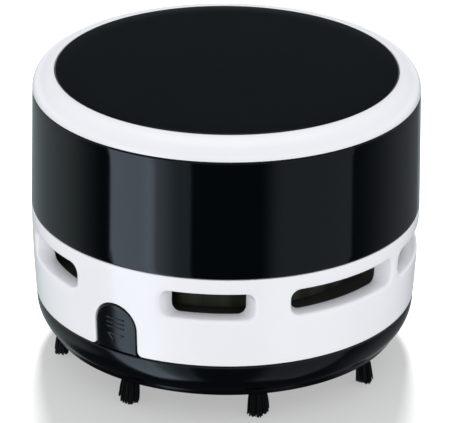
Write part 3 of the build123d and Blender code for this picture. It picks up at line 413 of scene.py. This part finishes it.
def vent_ring():
    """White ring: bowed side, belt, skirt, eight flared slots and the tab's notch."""
    top, slope_foot = BAND_FOOT - SEAM, BELT_FOOT - BELT_SLOPE
    outer = profile_radius(bow((R_RING_FOOT, RING_FOOT), (R_BAND_FOOT, BAND_FOOT), RING_BOW, 12))
    inner = profile_radius([(SKIRT_INNER, RING_FOOT), (SKIRT_INNER, slope_foot),
                            (BELT_INNER, BELT_FOOT), (BELT_INNER, top)])
    low, high = notch_path(RING_FOOT, NOTCH_WIDTH, NOTCH_TOP, NOTCH_FOOT), level_path(top)
    outer_holes, inner_holes, parts = [], [], []
    for middle, half_out, half_in in vent_spans():
        mouth = slot_loop(middle, half_out, SILL, SILL + VENT_HEIGHT, VENT_CORNER)
        throat = slot_loop(middle, half_in, SILL, SILL + VENT_HEIGHT, THROAT_CORNER)
        outer_holes.append(offset_loop(mouth, -MOUTH_EASE))
        inner_holes.append(offset_loop(throat, -THROAT_EASE))
        parts.append(vent_wall(mouth, outer_holes[-1], throat, inner_holes[-1], outer, inner))
    low_face = offset_loop(low, RING_FOOT_EASE, closed=False)
    for end in (0, -1):
        low_face[end] = (low[end][0], low[end][1] + RING_FOOT_EASE)
    high_face = [(s, z - RING_TOP_EASE) for s, z in high]
    ends = [18.0, slope_foot, BELT_FOOT, 28.0, 31.5]
    rows = [RING_FOOT + 1.2 + 1.25 * k for k in range(16)]
    parts.append(wrapped(unrolled_side(low_face, high_face, ends, outer_holes, rows), outer))
    rows += [slope_foot, BELT_FOOT]
    parts.append(wrapped(unrolled_side(low, high, ends, inner_holes, rows), inner))
    for path, face_path, ease in ((low, low_face, RING_FOOT_EASE),
                                  (high, high_face, RING_TOP_EASE)):
        parts.append(strip(rim_rows(path, face_path, outer, ease) + [wrap(path, inner)], False))
    parts += [turned_about(vent_ear(), angle) for angle in (0, 90, -90)]
    piece = new_piece("vent_ring_shell", joined(*parts), "upper", "shell_white", smooth=50)
    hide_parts("vent_ring")


def vent_ear():
    """Screw ear inside the belt, a flat tongue with a round end."""
    root, top = -BELT_INNER - 0.4, BAND_FOOT - SEAM
    outline = [(-EAR_HALF, root), (EAR_HALF, root), (EAR_HALF, -EAR_CIRCLE)]
    outline += [polar(EAR_HALF, 180 * k / 16, 0, -EAR_CIRCLE) for k in range(1, 17)]
    return prism(at_height(outline, top - EAR_THICK), at_height(outline, top - 0.02))


# --- band, cover, disc and shroud ----------------------------------------------------------

def housing_band():
    """Glossy band with the switch's pocket at the back."""
    pocket_ease, end_ease, foot_ease = 0.35, 0.3, 0.3
    outer = profile_radius([(R_BAND_FOOT, BAND_FOOT), (R_BAND_TOP, BAND_TOP)])
    low, high = level_path(BAND_FOOT), level_path(BAND_TOP - SEAM)
    low_face, high_face = [(s, z + end_ease) for s, z in low], [(s, z - end_ease) for s, z in high]
    half = math.degrees(math.asin(POCKET_WIDE / 2 / POCKET_R))
    mouth = slot_loop(0, half, SWITCH_Z - POCKET_HIGH / 2, SWITCH_Z + POCKET_HIGH / 2,
                      POCKET_CORNER)
    wide = offset_loop(mouth, -pocket_ease)
    rows = [BAND_FOOT + 1.5 + 1.6 * k for k in range(15)]
    side = unrolled_side(low_face, high_face, [40.0, 45.0, 50.0, 55.0], [wide], rows)
    corner = wrap(mouth, outer)
    inwards = [(x, y + pocket_ease, z) for x, y, z in corner]
    foot = [(x, -POCKET_FLOOR - 0.02, z) for x, y, z in corner]
    floor = offset_loop([(x, z) for x, y, z in corner], foot_ease)
    floor_row = [(x, -POCKET_FLOOR, z) for x, z in floor]
    inner_wall = [wrap(low, outer, BAND_WALL), wrap(high, outer, BAND_WALL)]
    parts = [wrapped(side, outer),
             strip(edge_rows(wrap(wide, outer), corner, inwards) + [foot, floor_row], True),
             pocket_floor(floor),
             strip(rim_rows(low, low_face, outer, end_ease) + inner_wall +
                   rim_rows(high, high_face, outer, end_ease)[::-1], False)]
    shape = turned_about(joined(*parts), 180)
    piece = new_piece("housing_band_shell", shape, "upper", "band_black", smooth=50)
    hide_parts("housing_band")


def pocket_floor(outline):
    """Flat floor of the pocket with the knob's window, and the window's walls."""
    low, high = SWITCH_Z - WINDOW_TALL, SWITCH_Z + WINDOW_TALL
    window = rounded([(-WINDOW_HALF, low), (WINDOW_HALF, low), (WINDOW_HALF, high),
                      (-WINDOW_HALF, high)], WINDOW_CORNER, 3)
    flat, faces = flat_fill(outline, [window])
    floor = [(x, -POCKET_FLOOR, z) for x, z in flat]
    wall = [[(x, y, z) for x, z in window] for y in (-POCKET_FLOOR, WINDOW_DEEP - POCKET_FLOOR)]
    return joined((floor, faces), strip(wall, True))


def top_cover():
    """White bezel, the recess that holds the disc, the skirt inside the band and its lugs."""
    recess, skirt_foot = COVER_TOP - DISC_DEEP, BAND_TOP - COVER_SKIRT_DEEP
    shoulder = bow((R_BAND_TOP, BAND_TOP + 0.25), (R_DISC + 0.55, COVER_TOP), BEZEL_BOW, 20)
    outline = [(R_DISC + 0.05, recess), (0, recess), (0, recess - COVER_PLATE),
               (COVER_SKIRT_INNER, recess - COVER_PLATE), (COVER_SKIRT_INNER, skirt_foot),
               (COVER_SKIRT_R, skirt_foot), (COVER_SKIRT_R, BAND_TOP),
               (R_BAND_TOP - 0.3, BAND_TOP), (R_BAND_TOP - 0.08, BAND_TOP + 0.07)]
    outline += shoulder + [(R_DISC + 0.3, COVER_TOP - 0.02), (R_DISC + 0.12, COVER_TOP - 0.1),
                           (R_DISC + 0.05, COVER_TOP - 0.3)]
    lug = [(LUG_R, skirt_foot), (LUG_R, skirt_foot + LUG_TALL),
           (LUG_ROOT, skirt_foot + LUG_TALL), (LUG_ROOT, skirt_foot)]
    middles = [360 / LUGS * k for k in range(LUGS)]
    lugs = [spin(lug, middle - LUG_HALF, middle + LUG_HALF, 10) for middle in middles]
    shape = joined(spin(outline), *lugs)
    piece = new_piece("top_cover_bezel", shape, "cover", "shell_white", smooth=40)
    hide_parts("top_cover")


def top_disc():
    """Black disc with a rounded edge, a little proud of the bezel."""
    top, foot, rim, ease = COVER_TOP + DISC_PROUD, COVER_TOP - DISC_DEEP, R_DISC - DISC_PLAY, 0.35
    outline = [(0, foot), (rim, foot), (rim, top - ease)]
    outline += [polar(ease, angle, rim - ease, top - ease) for angle in range(15, 91, 15)]
    outline += [(radius, top) for radius in (33.0, 24.0, 12.0, 0)]
    piece = new_piece("top_disc_gloss", spin(outline), "cover", "disc_black", smooth=40)
    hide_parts("top_disc")


def fan_shroud():
    """Smooth round wall; its outlets lie high up, beside the blades."""
    out, bore, ease = SHROUD_R, SHROUD_R - SHROUD_WALL, 0.2
    high = BAND_FOOT - OUTLET_DROP
    low = high - OUTLET_TALL
    parts = [spin([(out, SHROUD_FOOT + ease), (out, low), (bore, low), (bore, SHROUD_FOOT + ease),
                   (bore + ease, SHROUD_FOOT), (out - ease, SHROUD_FOOT)]),
             spin([(out, high), (out, BAND_FOOT), (bore, BAND_FOOT), (bore, high)])]
    half_post = 180 / OUTLETS - math.degrees(math.asin(OUTLET_WIDE / 2 / out))
    post = [(out, low), (out, high), (bore, high), (bore, low)]
    for k in range(OUTLETS):
        middle = 360 / OUTLETS * k
        parts.append(spin(post, middle - half_post, middle + half_post, 6))
    piece = new_piece("fan_shroud_wall", joined(*parts), "upper", "shroud_black", smooth=40)
    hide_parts("fan_shroud")


# --- dust tray, tab and tufts --------------------------------------------------------------

def plate_with_hole(radius, hole, height):
    """Flat plate between a circle and a hole."""
    circle = [polar(radius, 360 * k / TURN_STEPS - 90) for k in range(TURN_STEPS)]
    flat, faces = flat_fill(circle, [hole])
    return at_height(flat, height), faces


def dust_tray():
    """Black base: floor with the mouth and its duct, brush land, side, spigot and pin ears."""
    rim, bore = RING_FOOT - SEAM, SPIGOT_R - TRAY_WALL
    outline = [(FLOOR_R, FLOOR_LOW), *BRUSH_LAND]
    outline += bow(SIDE_START, (R_TRAY_TOP, rim - 0.25), TRAY_BOW, 20)
    outline += [(R_TRAY_TOP - 0.08, rim - 0.07), (R_TRAY_TOP - 0.25, rim), (bore, rim),
                (bore, FLOOR_TOP + 0.6), (bore - 0.2, FLOOR_TOP + 0.2), (bore - 0.6, FLOOR_TOP),
                (FLOOR_R, FLOOR_TOP)]
    open_half = math.degrees(math.asin(NOTCH_WIDTH / 2 / SPIGOT_R))
    spigot = spin(rounded([(SPIGOT_R, rim - 0.3), (SPIGOT_R, SPIGOT_TOP), (bore, SPIGOT_TOP),
                           (bore, rim - 0.3)], [0, 0.3, 0.3, 0], 3), open_half, 360 - open_half)

    def mouth(grown, height):
        """The mouth's outline, larger by so much, at a height."""
        return at_height(stadium(MOUTH_LONG + grown, MOUTH_WIDE + grown), height)

    flare, duct, root = 2.4, 2 * DUCT_WALL, 2 * DUCT_WALL + 1.0
    walls = strip([mouth(flare, FLOOR_LOW), mouth(flare / 2, FLOOR_LOW + 0.35),
                   mouth(0, FLOOR_LOW + 1.2), mouth(0, DUCT_TOP - 0.25), mouth(0.5, DUCT_TOP),
                   mouth(duct - 0.5, DUCT_TOP), mouth(duct, DUCT_TOP - 0.25),
                   mouth(duct, FLOOR_TOP + 0.5), mouth(root, FLOOR_TOP)], True)
    plates = [plate_with_hole(FLOOR_R, [(x, y) for x, y, _ in mouth(grown, z)], z)
              for grown, z in ((flare, FLOOR_LOW), (root, FLOOR_TOP))]
    shape = joined(spin(outline), spigot, *plates, walls, tray_ear(1), tray_ear(-1))
    piece = new_piece("dust_tray_shell", shape, "tray", "tray_black", smooth=40)
    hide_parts("dust_tray")


def tray_ear(sign):
    """Ear that holds one end of the tab's pin."""
    near, far, back = NOTCH_WIDTH / 2, TRAY_EAR_FAR, PIN_Y + TRAY_EAR_RISE
    plan = [(x, -math.sqrt(SPIGOT_R ** 2 - x * x) + 0.02) for x in (near, far)]
    plan = rounded([(sign * x, y) for x, y in plan + [(far, back), (near, back)]], 0.25, 3)
    return prism(at_height(plan, FLOOR_TOP - 0.2), at_height(plan, PIN_Z + TRAY_EAR_RISE))


def ring_cone(sink):
    """Radius at a height, that far inside the vent ring's straight side."""
    return profile_radius([(R_RING_FOOT - sink, RING_FOOT), (R_BAND_FOOT - sink, BAND_FOOT)])


def release_tab():
    """Finger tab that fills the notch, a little inside the ring's side, with pin and lip."""
    face, ease = ring_cone(TAB_RECESS), 0.3
    half = NOTCH_WIDTH / 2 - TAB_PLAY
    loop = arch_loop(2 * half, RING_FOOT, NOTCH_TOP - TAB_TOP_PLAY)
    small = offset_loop(loop, ease)
    grid = [(x, z) for z in (16, 18, 20, 22, 24) for x in range(-4, 5)
            if inside((x * 1.05, z + 0.3), small)]
    back = wrap(loop, face, TAB_THICK)
    rim = rim_rows(loop, small, face, ease)
    plate = joined(wrapped(flat_fill(small, [], grid), face), strip(rim + [back], True),
                   (back, [list(reversed(range(len(back))))]))
    out, inner = R_RING_FOOT - TAB_RECESS - TAB_THICK / 2, -PIN_Y - PIN_R - TAB_THICK / 2
    reach = math.degrees(math.asin(half / out))
    knuckle_top = PIN_Z + KNUCKLE_RISE
    knuckle = spin(rounded([(out, RING_FOOT), (out, knuckle_top), (inner, knuckle_top),
                            (inner, RING_FOOT)], 0.4, 3), -reach, reach, 12)
    head, lip_out, lip_top = NOTCH_TOP - HEAD_DROP, BELT_INNER - LIP_PLAY, NOTCH_TOP + LIP_RISE
    bridge, bridge_top = face(head) - TAB_THICK / 2, head + BRIDGE_TALL
    reach = math.degrees(math.asin(LIP_HALF / lip_out))
    lip = spin(rounded([(bridge, head), (bridge, bridge_top), (lip_out, bridge_top),
                        (lip_out, lip_top), (lip_out - LIP_THICK, lip_top),
                        (lip_out - LIP_THICK, head)], 0.2, 2), -reach, reach, 8)
    shape = joined(plate, knuckle, lip, pin_bar())
    piece = new_piece("release_tab_plate", shape, "tab", "tray_black", smooth=40)
    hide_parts("release_tab")


def pin_bar(steps=24):
    """The tab's two pin ends, one bar through its knuckle."""
    circle = [polar(PIN_R, 360 * k / steps, PIN_Y, PIN_Z) for k in range(steps)]
    return prism([(-PIN_REACH, y, z) for y, z in circle], [(PIN_REACH, y, z) for y, z in circle])


def tab_marks():
    """Raised outline of a triangle that points down, and three grip bars above it."""
    face, parts = ring_cone(TAB_RECESS), []
    for index in range(GRIP_BARS):
        low = BAR_LEVEL + index * BAR_PITCH - BAR_TALL / 2
        high = low + BAR_TALL
        parts.append(raised(rounded([(-BAR_HALF, low), (BAR_HALF, low), (BAR_HALF, high),
                                     (-BAR_HALF, high)], 0.19, 4), face))
    middle = Vector(ARROW_MIDDLE)
    for i, start in enumerate(ARROW):
        end = ARROW[(i + 1) % len(ARROW)]
        inner = [tuple(Vector(p) + (middle - Vector(p)) * ARROW_LINE) for p in (end, start)]
        parts.append(raised([start, end] + inner, face))
    new_piece("release_tab_marks", joined(*parts), "tab", "tray_black", smooth=30)


def raised(loop, face, relief=0.12):
    """Low prism on the tab's face, with a slightly smaller top."""
    x, z = (sum(p[axis] for p in loop) / len(loop) for axis in (0, 1))
    crown = [(x + (s - x) * 0.96, z + (h - z) * 0.85) for s, h in loop]
    side = strip([wrap(loop, face, 0.1), wrap(loop, face, -relief * 0.5),
                  wrap(crown, face, -relief)], True)
    n = len(loop)
    return side[0], side[1] + [[2 * n + i for i in range(n)]]


def bristle(draw, slant):
    """One tapered bristle: its root in the socket, its end spread and cut off a little ragged."""
    while True:
        u, v = draw.uniform(-1, 1), draw.uniform(-1, 1)
        if u * u + v * v <= 1:
            break
    root = Vector((u * SOCKET_HALF[0], SOCKET_Y + v * SOCKET_HALF[1], TRAY_FOOT + 0.4))
    end = Vector((u * TIP_HALF[0] + draw.uniform(-0.15, 0.15),
                  TIP_Y + v * TIP_HALF[1] + draw.uniform(-0.08, 0.08),
                  0.02 + 0.4 * draw.random() ** 3 + max(0.0, slant * u)
                  + draw.uniform(0.5, 1.6) * u * u))
    bend = Vector((draw.uniform(-0.12, 0.12), draw.uniform(-0.12, 0.12), 0))
    rows = []
    for k in range(BRISTLE_STEPS + 1):
        t = k / BRISTLE_STEPS
        centre = root.lerp(end, t ** 0.6) + bend * math.sin(math.pi * t)
        height, thick = root.z + (end.z - root.z) * t, 0.16 - 0.03 * t
        rows.append(at_height([polar(thick, 360 * j / BRISTLE_SIDES, centre.x, centre.y)
                               for j in range(BRISTLE_SIDES)], height))
    verts, faces = strip(rows, True)
    first = BRISTLE_SIDES * BRISTLE_STEPS
    return verts, faces + [[first + j for j in reversed(range(BRISTLE_SIDES))]]


def bristle_tuft(index):
    """Single bristles that spread from a socket under the tray, the tuft's end cut aslant."""
    draw = random.Random(40 + index)
    slant = draw.uniform(-0.7, 0.7)
    bristles = joined(*(bristle(draw, slant) for _ in range(BRISTLES)))
    shape = turned_about(bristles, 360 / TUFTS * (index - 1))
    piece = new_piece(f"brush_tuft_bristles_{index}", shape, "tray", "bristle", smooth=60)
    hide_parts(f"brush_tuft_{index}")


# --- materials -----------------------------------------------------------------------------

COAT_ROUGHNESS, DRIFT_COARSENESS = 0.03, 40          # colour drifts over 40 grains
BUMP_SCALE, RELIEF_DEPTH = 3000.0, 0.0001            # per metre, metres


def add_relief(tree, strength, source):
    """Bump on the material's surface, from the height that a node gives."""
    relief = tree.nodes.new("ShaderNodeBump")
    relief.inputs["Strength"].default_value = strength
    relief.inputs["Distance"].default_value = RELIEF_DEPTH
    tree.links.new(source, relief.inputs["Height"])
    tree.links.new(relief.outputs["Normal"], tree.nodes["Principled BSDF"].inputs["Normal"])


def material(name, colour, roughness, shade=0.04, metallic=0.0, coat=0.0, specular=0.5, bump=0.0,
             grain_scale=4000.0, upright=1.0):
    """Procedural material: colour and roughness drift a little over the surface.

    shade is the share by which the colour drifts, and upright stretches the drift along Z.
    """
    made = bpy.data.materials.new(name)
    made.use_nodes = True
    nodes, links = made.node_tree.nodes, made.node_tree.links
    shader = nodes["Principled BSDF"]
    where = nodes.new("ShaderNodeTexCoord").outputs["Object"]

    def noise(scale, detail, vector):
        node = nodes.new("ShaderNodeTexNoise")
        node.inputs["Scale"].default_value, node.inputs["Detail"].default_value = scale, detail
        links.new(vector, node.inputs["Vector"])
        return node.outputs["Fac"]

    stretch = nodes.new("ShaderNodeMapping")
    stretch.inputs["Scale"].default_value = (1, 1, upright)
    links.new(where, stretch.inputs["Vector"])
    drift = noise(grain_scale / DRIFT_COARSENESS, 4, stretch.outputs["Vector"])
    ramp = nodes.new("ShaderNodeValToRGB")
    dark, light = ramp.color_ramp.elements
    dark.position, light.position = 0.3, 0.7
    dark.color = (*[c * (1 - shade) for c in colour], 1)
    light.color = (*[min(1.0, c * (1 + shade)) for c in colour], 1)
    links.new(drift, ramp.inputs["Fac"])
    links.new(ramp.outputs["Color"], shader.inputs["Base Color"])
    rough = nodes.new("ShaderNodeMapRange")
    rough.inputs["To Min"].default_value = roughness * 0.9
    rough.inputs["To Max"].default_value = roughness * 1.1
    links.new(noise(grain_scale, 3, where), rough.inputs["Value"])
    links.new(rough.outputs["Result"], shader.inputs["Roughness"])
    shader.inputs["Metallic"].default_value = metallic
    shader.inputs["Specular IOR Level"].default_value = specular
    shader.inputs["Coat Weight"].default_value = coat
    shader.inputs["Coat Roughness"].default_value = COAT_ROUGHNESS
    if bump > 0:
        add_relief(made.node_tree, bump, noise(BUMP_SCALE, 2, where))
    return made


def woven(cloth, pitch=0.0005):
    """Gives a material threads that cross, as relief and as darker gaps; pitch in metres."""
    tree = cloth.node_tree
    nodes, links = tree.nodes, tree.links
    cross = nodes.new("ShaderNodeMath")
    cross.operation = "MAXIMUM"
    for direction, slot in zip(("X", "Y"), cross.inputs):
        wave = nodes.new("ShaderNodeTexWave")
        wave.bands_direction = direction
        wave.inputs["Scale"].default_value = math.pi / 10 / pitch
        links.new(nodes["Texture Coordinate"].outputs["Object"], wave.inputs["Vector"])
        links.new(wave.outputs["Fac"], slot)
    add_relief(tree, 0.8, cross.outputs[0])
    tone = nodes.new("ShaderNodeValToRGB")
    gap, thread = tone.color_ramp.elements
    gap.color, thread.color = (0.2, 0.2, 0.2, 1), (0.66, 0.67, 0.66, 1)
    links.new(cross.outputs[0], tone.inputs["Fac"])
    links.new(tone.outputs["Color"], nodes["Principled BSDF"].inputs["Base Color"])
    return cloth


SLOT_MATERIALS = {
    "shell_white": material("white_abs", (0.86, 0.862, 0.89), 0.22, shade=0.008, coat=0.2),
    "band_black": material("piano_black_band", (0.001, 0.0024, 0.0036), 0.07, shade=0.1),
    "disc_black": material("smoked_disc", (0.0040, 0.0056, 0.0070), 0.12, shade=0.05),
    # painted reflection: the shroud's colour is lightened and drifts in tall upright streaks that
    # stand in for highlights on a glossy dark wall
    "shroud_black": material("shroud_painted_reflection", (0.06, 0.063, 0.045), 0.3, shade=0.85,
                             grain_scale=8000, upright=0.03),
    "tray_black": material("tray_black_abs", (0.0024, 0.0036, 0.0046), 0.14, shade=0.1,
                           specular=0.44),
    "bristle": material("nylon_bristle", (0.0025, 0.0025, 0.003), 0.6, shade=0.2, specular=0.2),
    "inner_grey": material("grey_inner_abs", (0.045, 0.047, 0.04), 0.42, shade=0.05, bump=0.15),
    "impeller_white": material("impeller_abs", (0.78, 0.79, 0.78), 0.35, shade=0.02),
    "filter_cloth": woven(material("filter_cloth", (0.62, 0.63, 0.62), 0.85, shade=0.12)),
    "steel": material("zinc_steel", (0.62, 0.62, 0.60), 0.28, shade=0.06, metallic=1.0),
    "steel_dark": material("dark_steel", (0.32, 0.32, 0.33), 0.34, shade=0.1, metallic=1.0),
    "end_cap_plastic": material("white_nylon_cap", (0.72, 0.70, 0.64), 0.45, shade=0.03),
    "brass": material("brass_strip", (0.72, 0.52, 0.24), 0.3, shade=0.06, metallic=1.0),
    "cell_sleeve": material("cell_sleeve_film", (0.035, 0.13, 0.06), 0.25, shade=0.08),
    "switch_plastic": material("switch_phenolic", (0.012, 0.012, 0.013), 0.5, shade=0.1),
    "knob_black": material("knob_abs", (0.02, 0.021, 0.023), 0.38, shade=0.1, bump=0.2),
    "lead_red": material("red_pvc", (0.45, 0.012, 0.012), 0.4, shade=0.06),
    "lead_black": material("black_pvc", (0.012, 0.012, 0.012), 0.4, shade=0.1),
}


def paint_nodes():
    """CAD nodes that show as they are take the material of their slot."""
    slots = {row["node"]: row["material_slot"] for row in frame["record"]["subparts"]}
    for name, node in NODES.items():
        node.data.materials.clear()
        node.data.materials.append(SLOT_MATERIALS[slots[name]])


# --- stage ---------------------------------------------------------------------------------

# Camera of the photo: target and distance in millimetres, angles in degrees. Yaw, pitch and
# roll turn it a little away from the target.
TARGET, DISTANCE, AZIMUTH, ELEVATION = (0, 0, 37.3), 739.11, 33.6, 23.89
YAW, PITCH, ROLL, LENS, SENSOR = -0.0086, -0.41566, 0.5637, 269.87, 36


def direction(azimuth, elevation):
    """Unit vector from the object towards a camera or lamp at these angles in degrees."""
    turn, rise = math.radians(azimuth), math.radians(elevation)
    return Vector((math.sin(turn) * math.cos(rise), -math.cos(turn) * math.cos(rise),
                   math.sin(rise)))


def turned(a, b, degrees):
    """Two unit vectors at right angles, the first turned towards the second."""
    c, s = math.cos(math.radians(degrees)), math.sin(math.radians(degrees))
    return a * c + b * s, b * c - a * s


def place_camera():
    back = direction(AZIMUTH, ELEVATION)
    ahead = -back
    right = ahead.cross(Vector((0, 0, 1))).normalized()
    up = right.cross(ahead)
    ahead, right = turned(ahead, right, YAW)
    ahead, up = turned(ahead, up, PITCH)
    right, up = turned(right, up, ROLL)
    place = (Vector(TARGET) + back * DISTANCE) * MM
    lens = bpy.data.cameras.new("photo_camera")
    lens.lens, lens.sensor_width = LENS, SENSOR
    lens.clip_start, lens.clip_end = 0.01, 20
    camera = bpy.data.objects.new("photo_camera", lens)
    camera.matrix_world = Matrix(tuple(zip(right, up, -ahead, place)) + ((0, 0, 0, 1),))
    bpy.context.scene.collection.objects.link(camera)
    bpy.context.scene.camera = camera


def pale_floor(reach=3.0):
    """Light table: a plain matt sheet that glows a little, so that shadows on it stay pale."""
    mesh = bpy.data.meshes.new("floor")
    mesh.from_pydata([(-reach, -reach, 0), (reach, -reach, 0), (reach, reach, 0),
                      (-reach, reach, 0)], [], [[0, 1, 2, 3]])
    floor = bpy.data.objects.new("floor", mesh)
    bpy.context.scene.collection.objects.link(floor)
    sheet = material("floor_sheet", (0.26, 0.26, 0.26), 0.6, shade=0.004, specular=0.1)
    shader = sheet.node_tree.nodes["Principled BSDF"]
    shader.inputs["Emission Color"].default_value = (1, 1, 1, 1)
    shader.inputs["Emission Strength"].default_value = 0.42
    floor.data.materials.append(sheet)
    floor.visible_glossy = floor.visible_diffuse = False
    return floor


def floor_lamp(floor, strength=13.0, elevation=52.0, softness=13.0):
    """Lamp high behind the object, for the floor alone: the shadow falls forwards and soft."""
    lit = bpy.data.collections.new("floor_lamp_lights")
    lit.objects.link(floor)
    data = bpy.data.lights.new("floor_lamp", "SUN")
    data.energy, data.angle = strength, math.radians(softness)
    lamp = bpy.data.objects.new("floor_lamp", data)
    bpy.context.scene.collection.objects.link(lamp)
    towards = direction(AZIMUTH + 180, elevation)
    lamp.rotation_euler = towards.to_track_quat("Z", "Y").to_euler()
    lamp.light_linking.receiver_collection = lit


# Soft boxes of the studio, as seen mirrored in the gloss: bearing from the camera's side (right
# is positive) and height above the horizon, in degrees, each from, to and the softness of both
# ends; then the light.
SOFT_BOXES = (
    ((-70.8, -42.4, 1.2, 3), (-67, -8, 5, 3), (1.38, 1.66, 1.98)),
    ((-43, -20, 1.2, 1.2), (-67, -8, 5, 3), (0.26, 0.32, 0.38)),
    ((-45, -34, 8, 8), (-67, -8, 5, 3), (0.5, 0.6, 0.7)),
    ((27, 79, 7, 1.5), (-67, -8, 5, 3), (0.24, 0.28, 0.32)),
    ((-190, -92, 3, 18), (-40, 10, 5, 12), (0.28, 0.33, 0.33)),
    ((100, 158, 25, 3), (-50, 10, 10, 10), (0.15, 0.16, 0.17)),
    ((158, 190, 2, 3), (-40, 10, 5, 12), (0.28, 0.33, 0.33)),
    ((-180, 181, 10, 10), (62, 95, 8, 8), (0.6, 0.6, 0.62)),
    ((-200, 200, 5, 5), (-11, 9, 3, 5), (0.42, 0.43, 0.45)),
)
DARK_ROOM = (0.02, 0.025, 0.03)
PLAIN_LIGHT, BACKDROP = ((0.97, 0.985, 1, 1), 1.14), ((1, 1, 1, 1), 1.05)   # colour, strength


def studio_world():
    """World with three faces: soft boxes in mirrors, plain light on matt, white behind all."""
    world = bpy.data.worlds.new("studio")
    world.use_nodes = True
    nodes, links = world.node_tree.nodes, world.node_tree.links
    nodes.clear()

    def joins(node, *sources):
        for slot, source in zip(node.inputs, sources):
            if isinstance(source, bpy.types.NodeSocket):
                links.new(source, slot)
            elif source is not None:
                slot.default_value = source
        return node.outputs[0]

    def math_node(operation, *sources):
        node = nodes.new("ShaderNodeMath")
        node.operation = operation
        return joins(node, *sources)

    def step(value, at, soft):
        node = nodes.new("ShaderNodeMapRange")
        node.interpolation_type = "SMOOTHSTEP"
        return joins(node, value, at - soft, at + soft)

    def window(value, low, high, soft_low, soft_high):
        return math_node("SUBTRACT", step(value, low, soft_low), step(value, high, soft_high))

    def background(colour, strength):
        return joins(nodes.new("ShaderNodeBackground"), colour, strength)

    facing = nodes.new("ShaderNodeVectorRotate")
    facing.rotation_type = "Z_AXIS"
    facing.inputs["Angle"].default_value = -math.radians(AZIMUTH)
    links.new(nodes.new("ShaderNodeTexCoord").outputs["Generated"], facing.inputs["Vector"])
    split = nodes.new("ShaderNodeSeparateXYZ")
    links.new(facing.outputs[0], split.inputs[0])
    x, y, z = split.outputs
    bearing = math_node("DEGREES", math_node("ARCTAN2", x, math_node("MULTIPLY", y, -1)))
    height = math_node("DEGREES", math_node("ARCSINE", z))
    mirrored = DARK_ROOM
    for across, upward, light in SOFT_BOXES:
        glow, total = nodes.new("ShaderNodeVectorMath"), nodes.new("ShaderNodeVectorMath")
        glow.operation, total.operation = "SCALE", "ADD"
        glow.inputs[0].default_value = light
        share = math_node("MULTIPLY", window(bearing, *across), window(height, *upward))
        links.new(share, glow.inputs["Scale"])
        mirrored = joins(total, glow.outputs[0], mirrored)
    ray = nodes.new("ShaderNodeLightPath")
    lit = joins(nodes.new("ShaderNodeMixShader"), ray.outputs["Is Glossy Ray"],
                background(*PLAIN_LIGHT), background(mirrored, 1.0))
    seen = joins(nodes.new("ShaderNodeMixShader"), ray.outputs["Is Camera Ray"],
                 lit, background(*BACKDROP))
    links.new(seen, nodes.new("ShaderNodeOutputWorld").inputs["Surface"])
    bpy.context.scene.world = world


vent_ring()
housing_band()
top_cover()
top_disc()
fan_shroud()
dust_tray()
release_tab()
tab_marks()
for tuft in range(1, TUFTS + 1):
    bristle_tuft(tuft)
paint_nodes()
floor_lamp(pale_floor())
studio_world()
place_camera()
bpy.context.scene.view_settings.view_transform = "Standard"
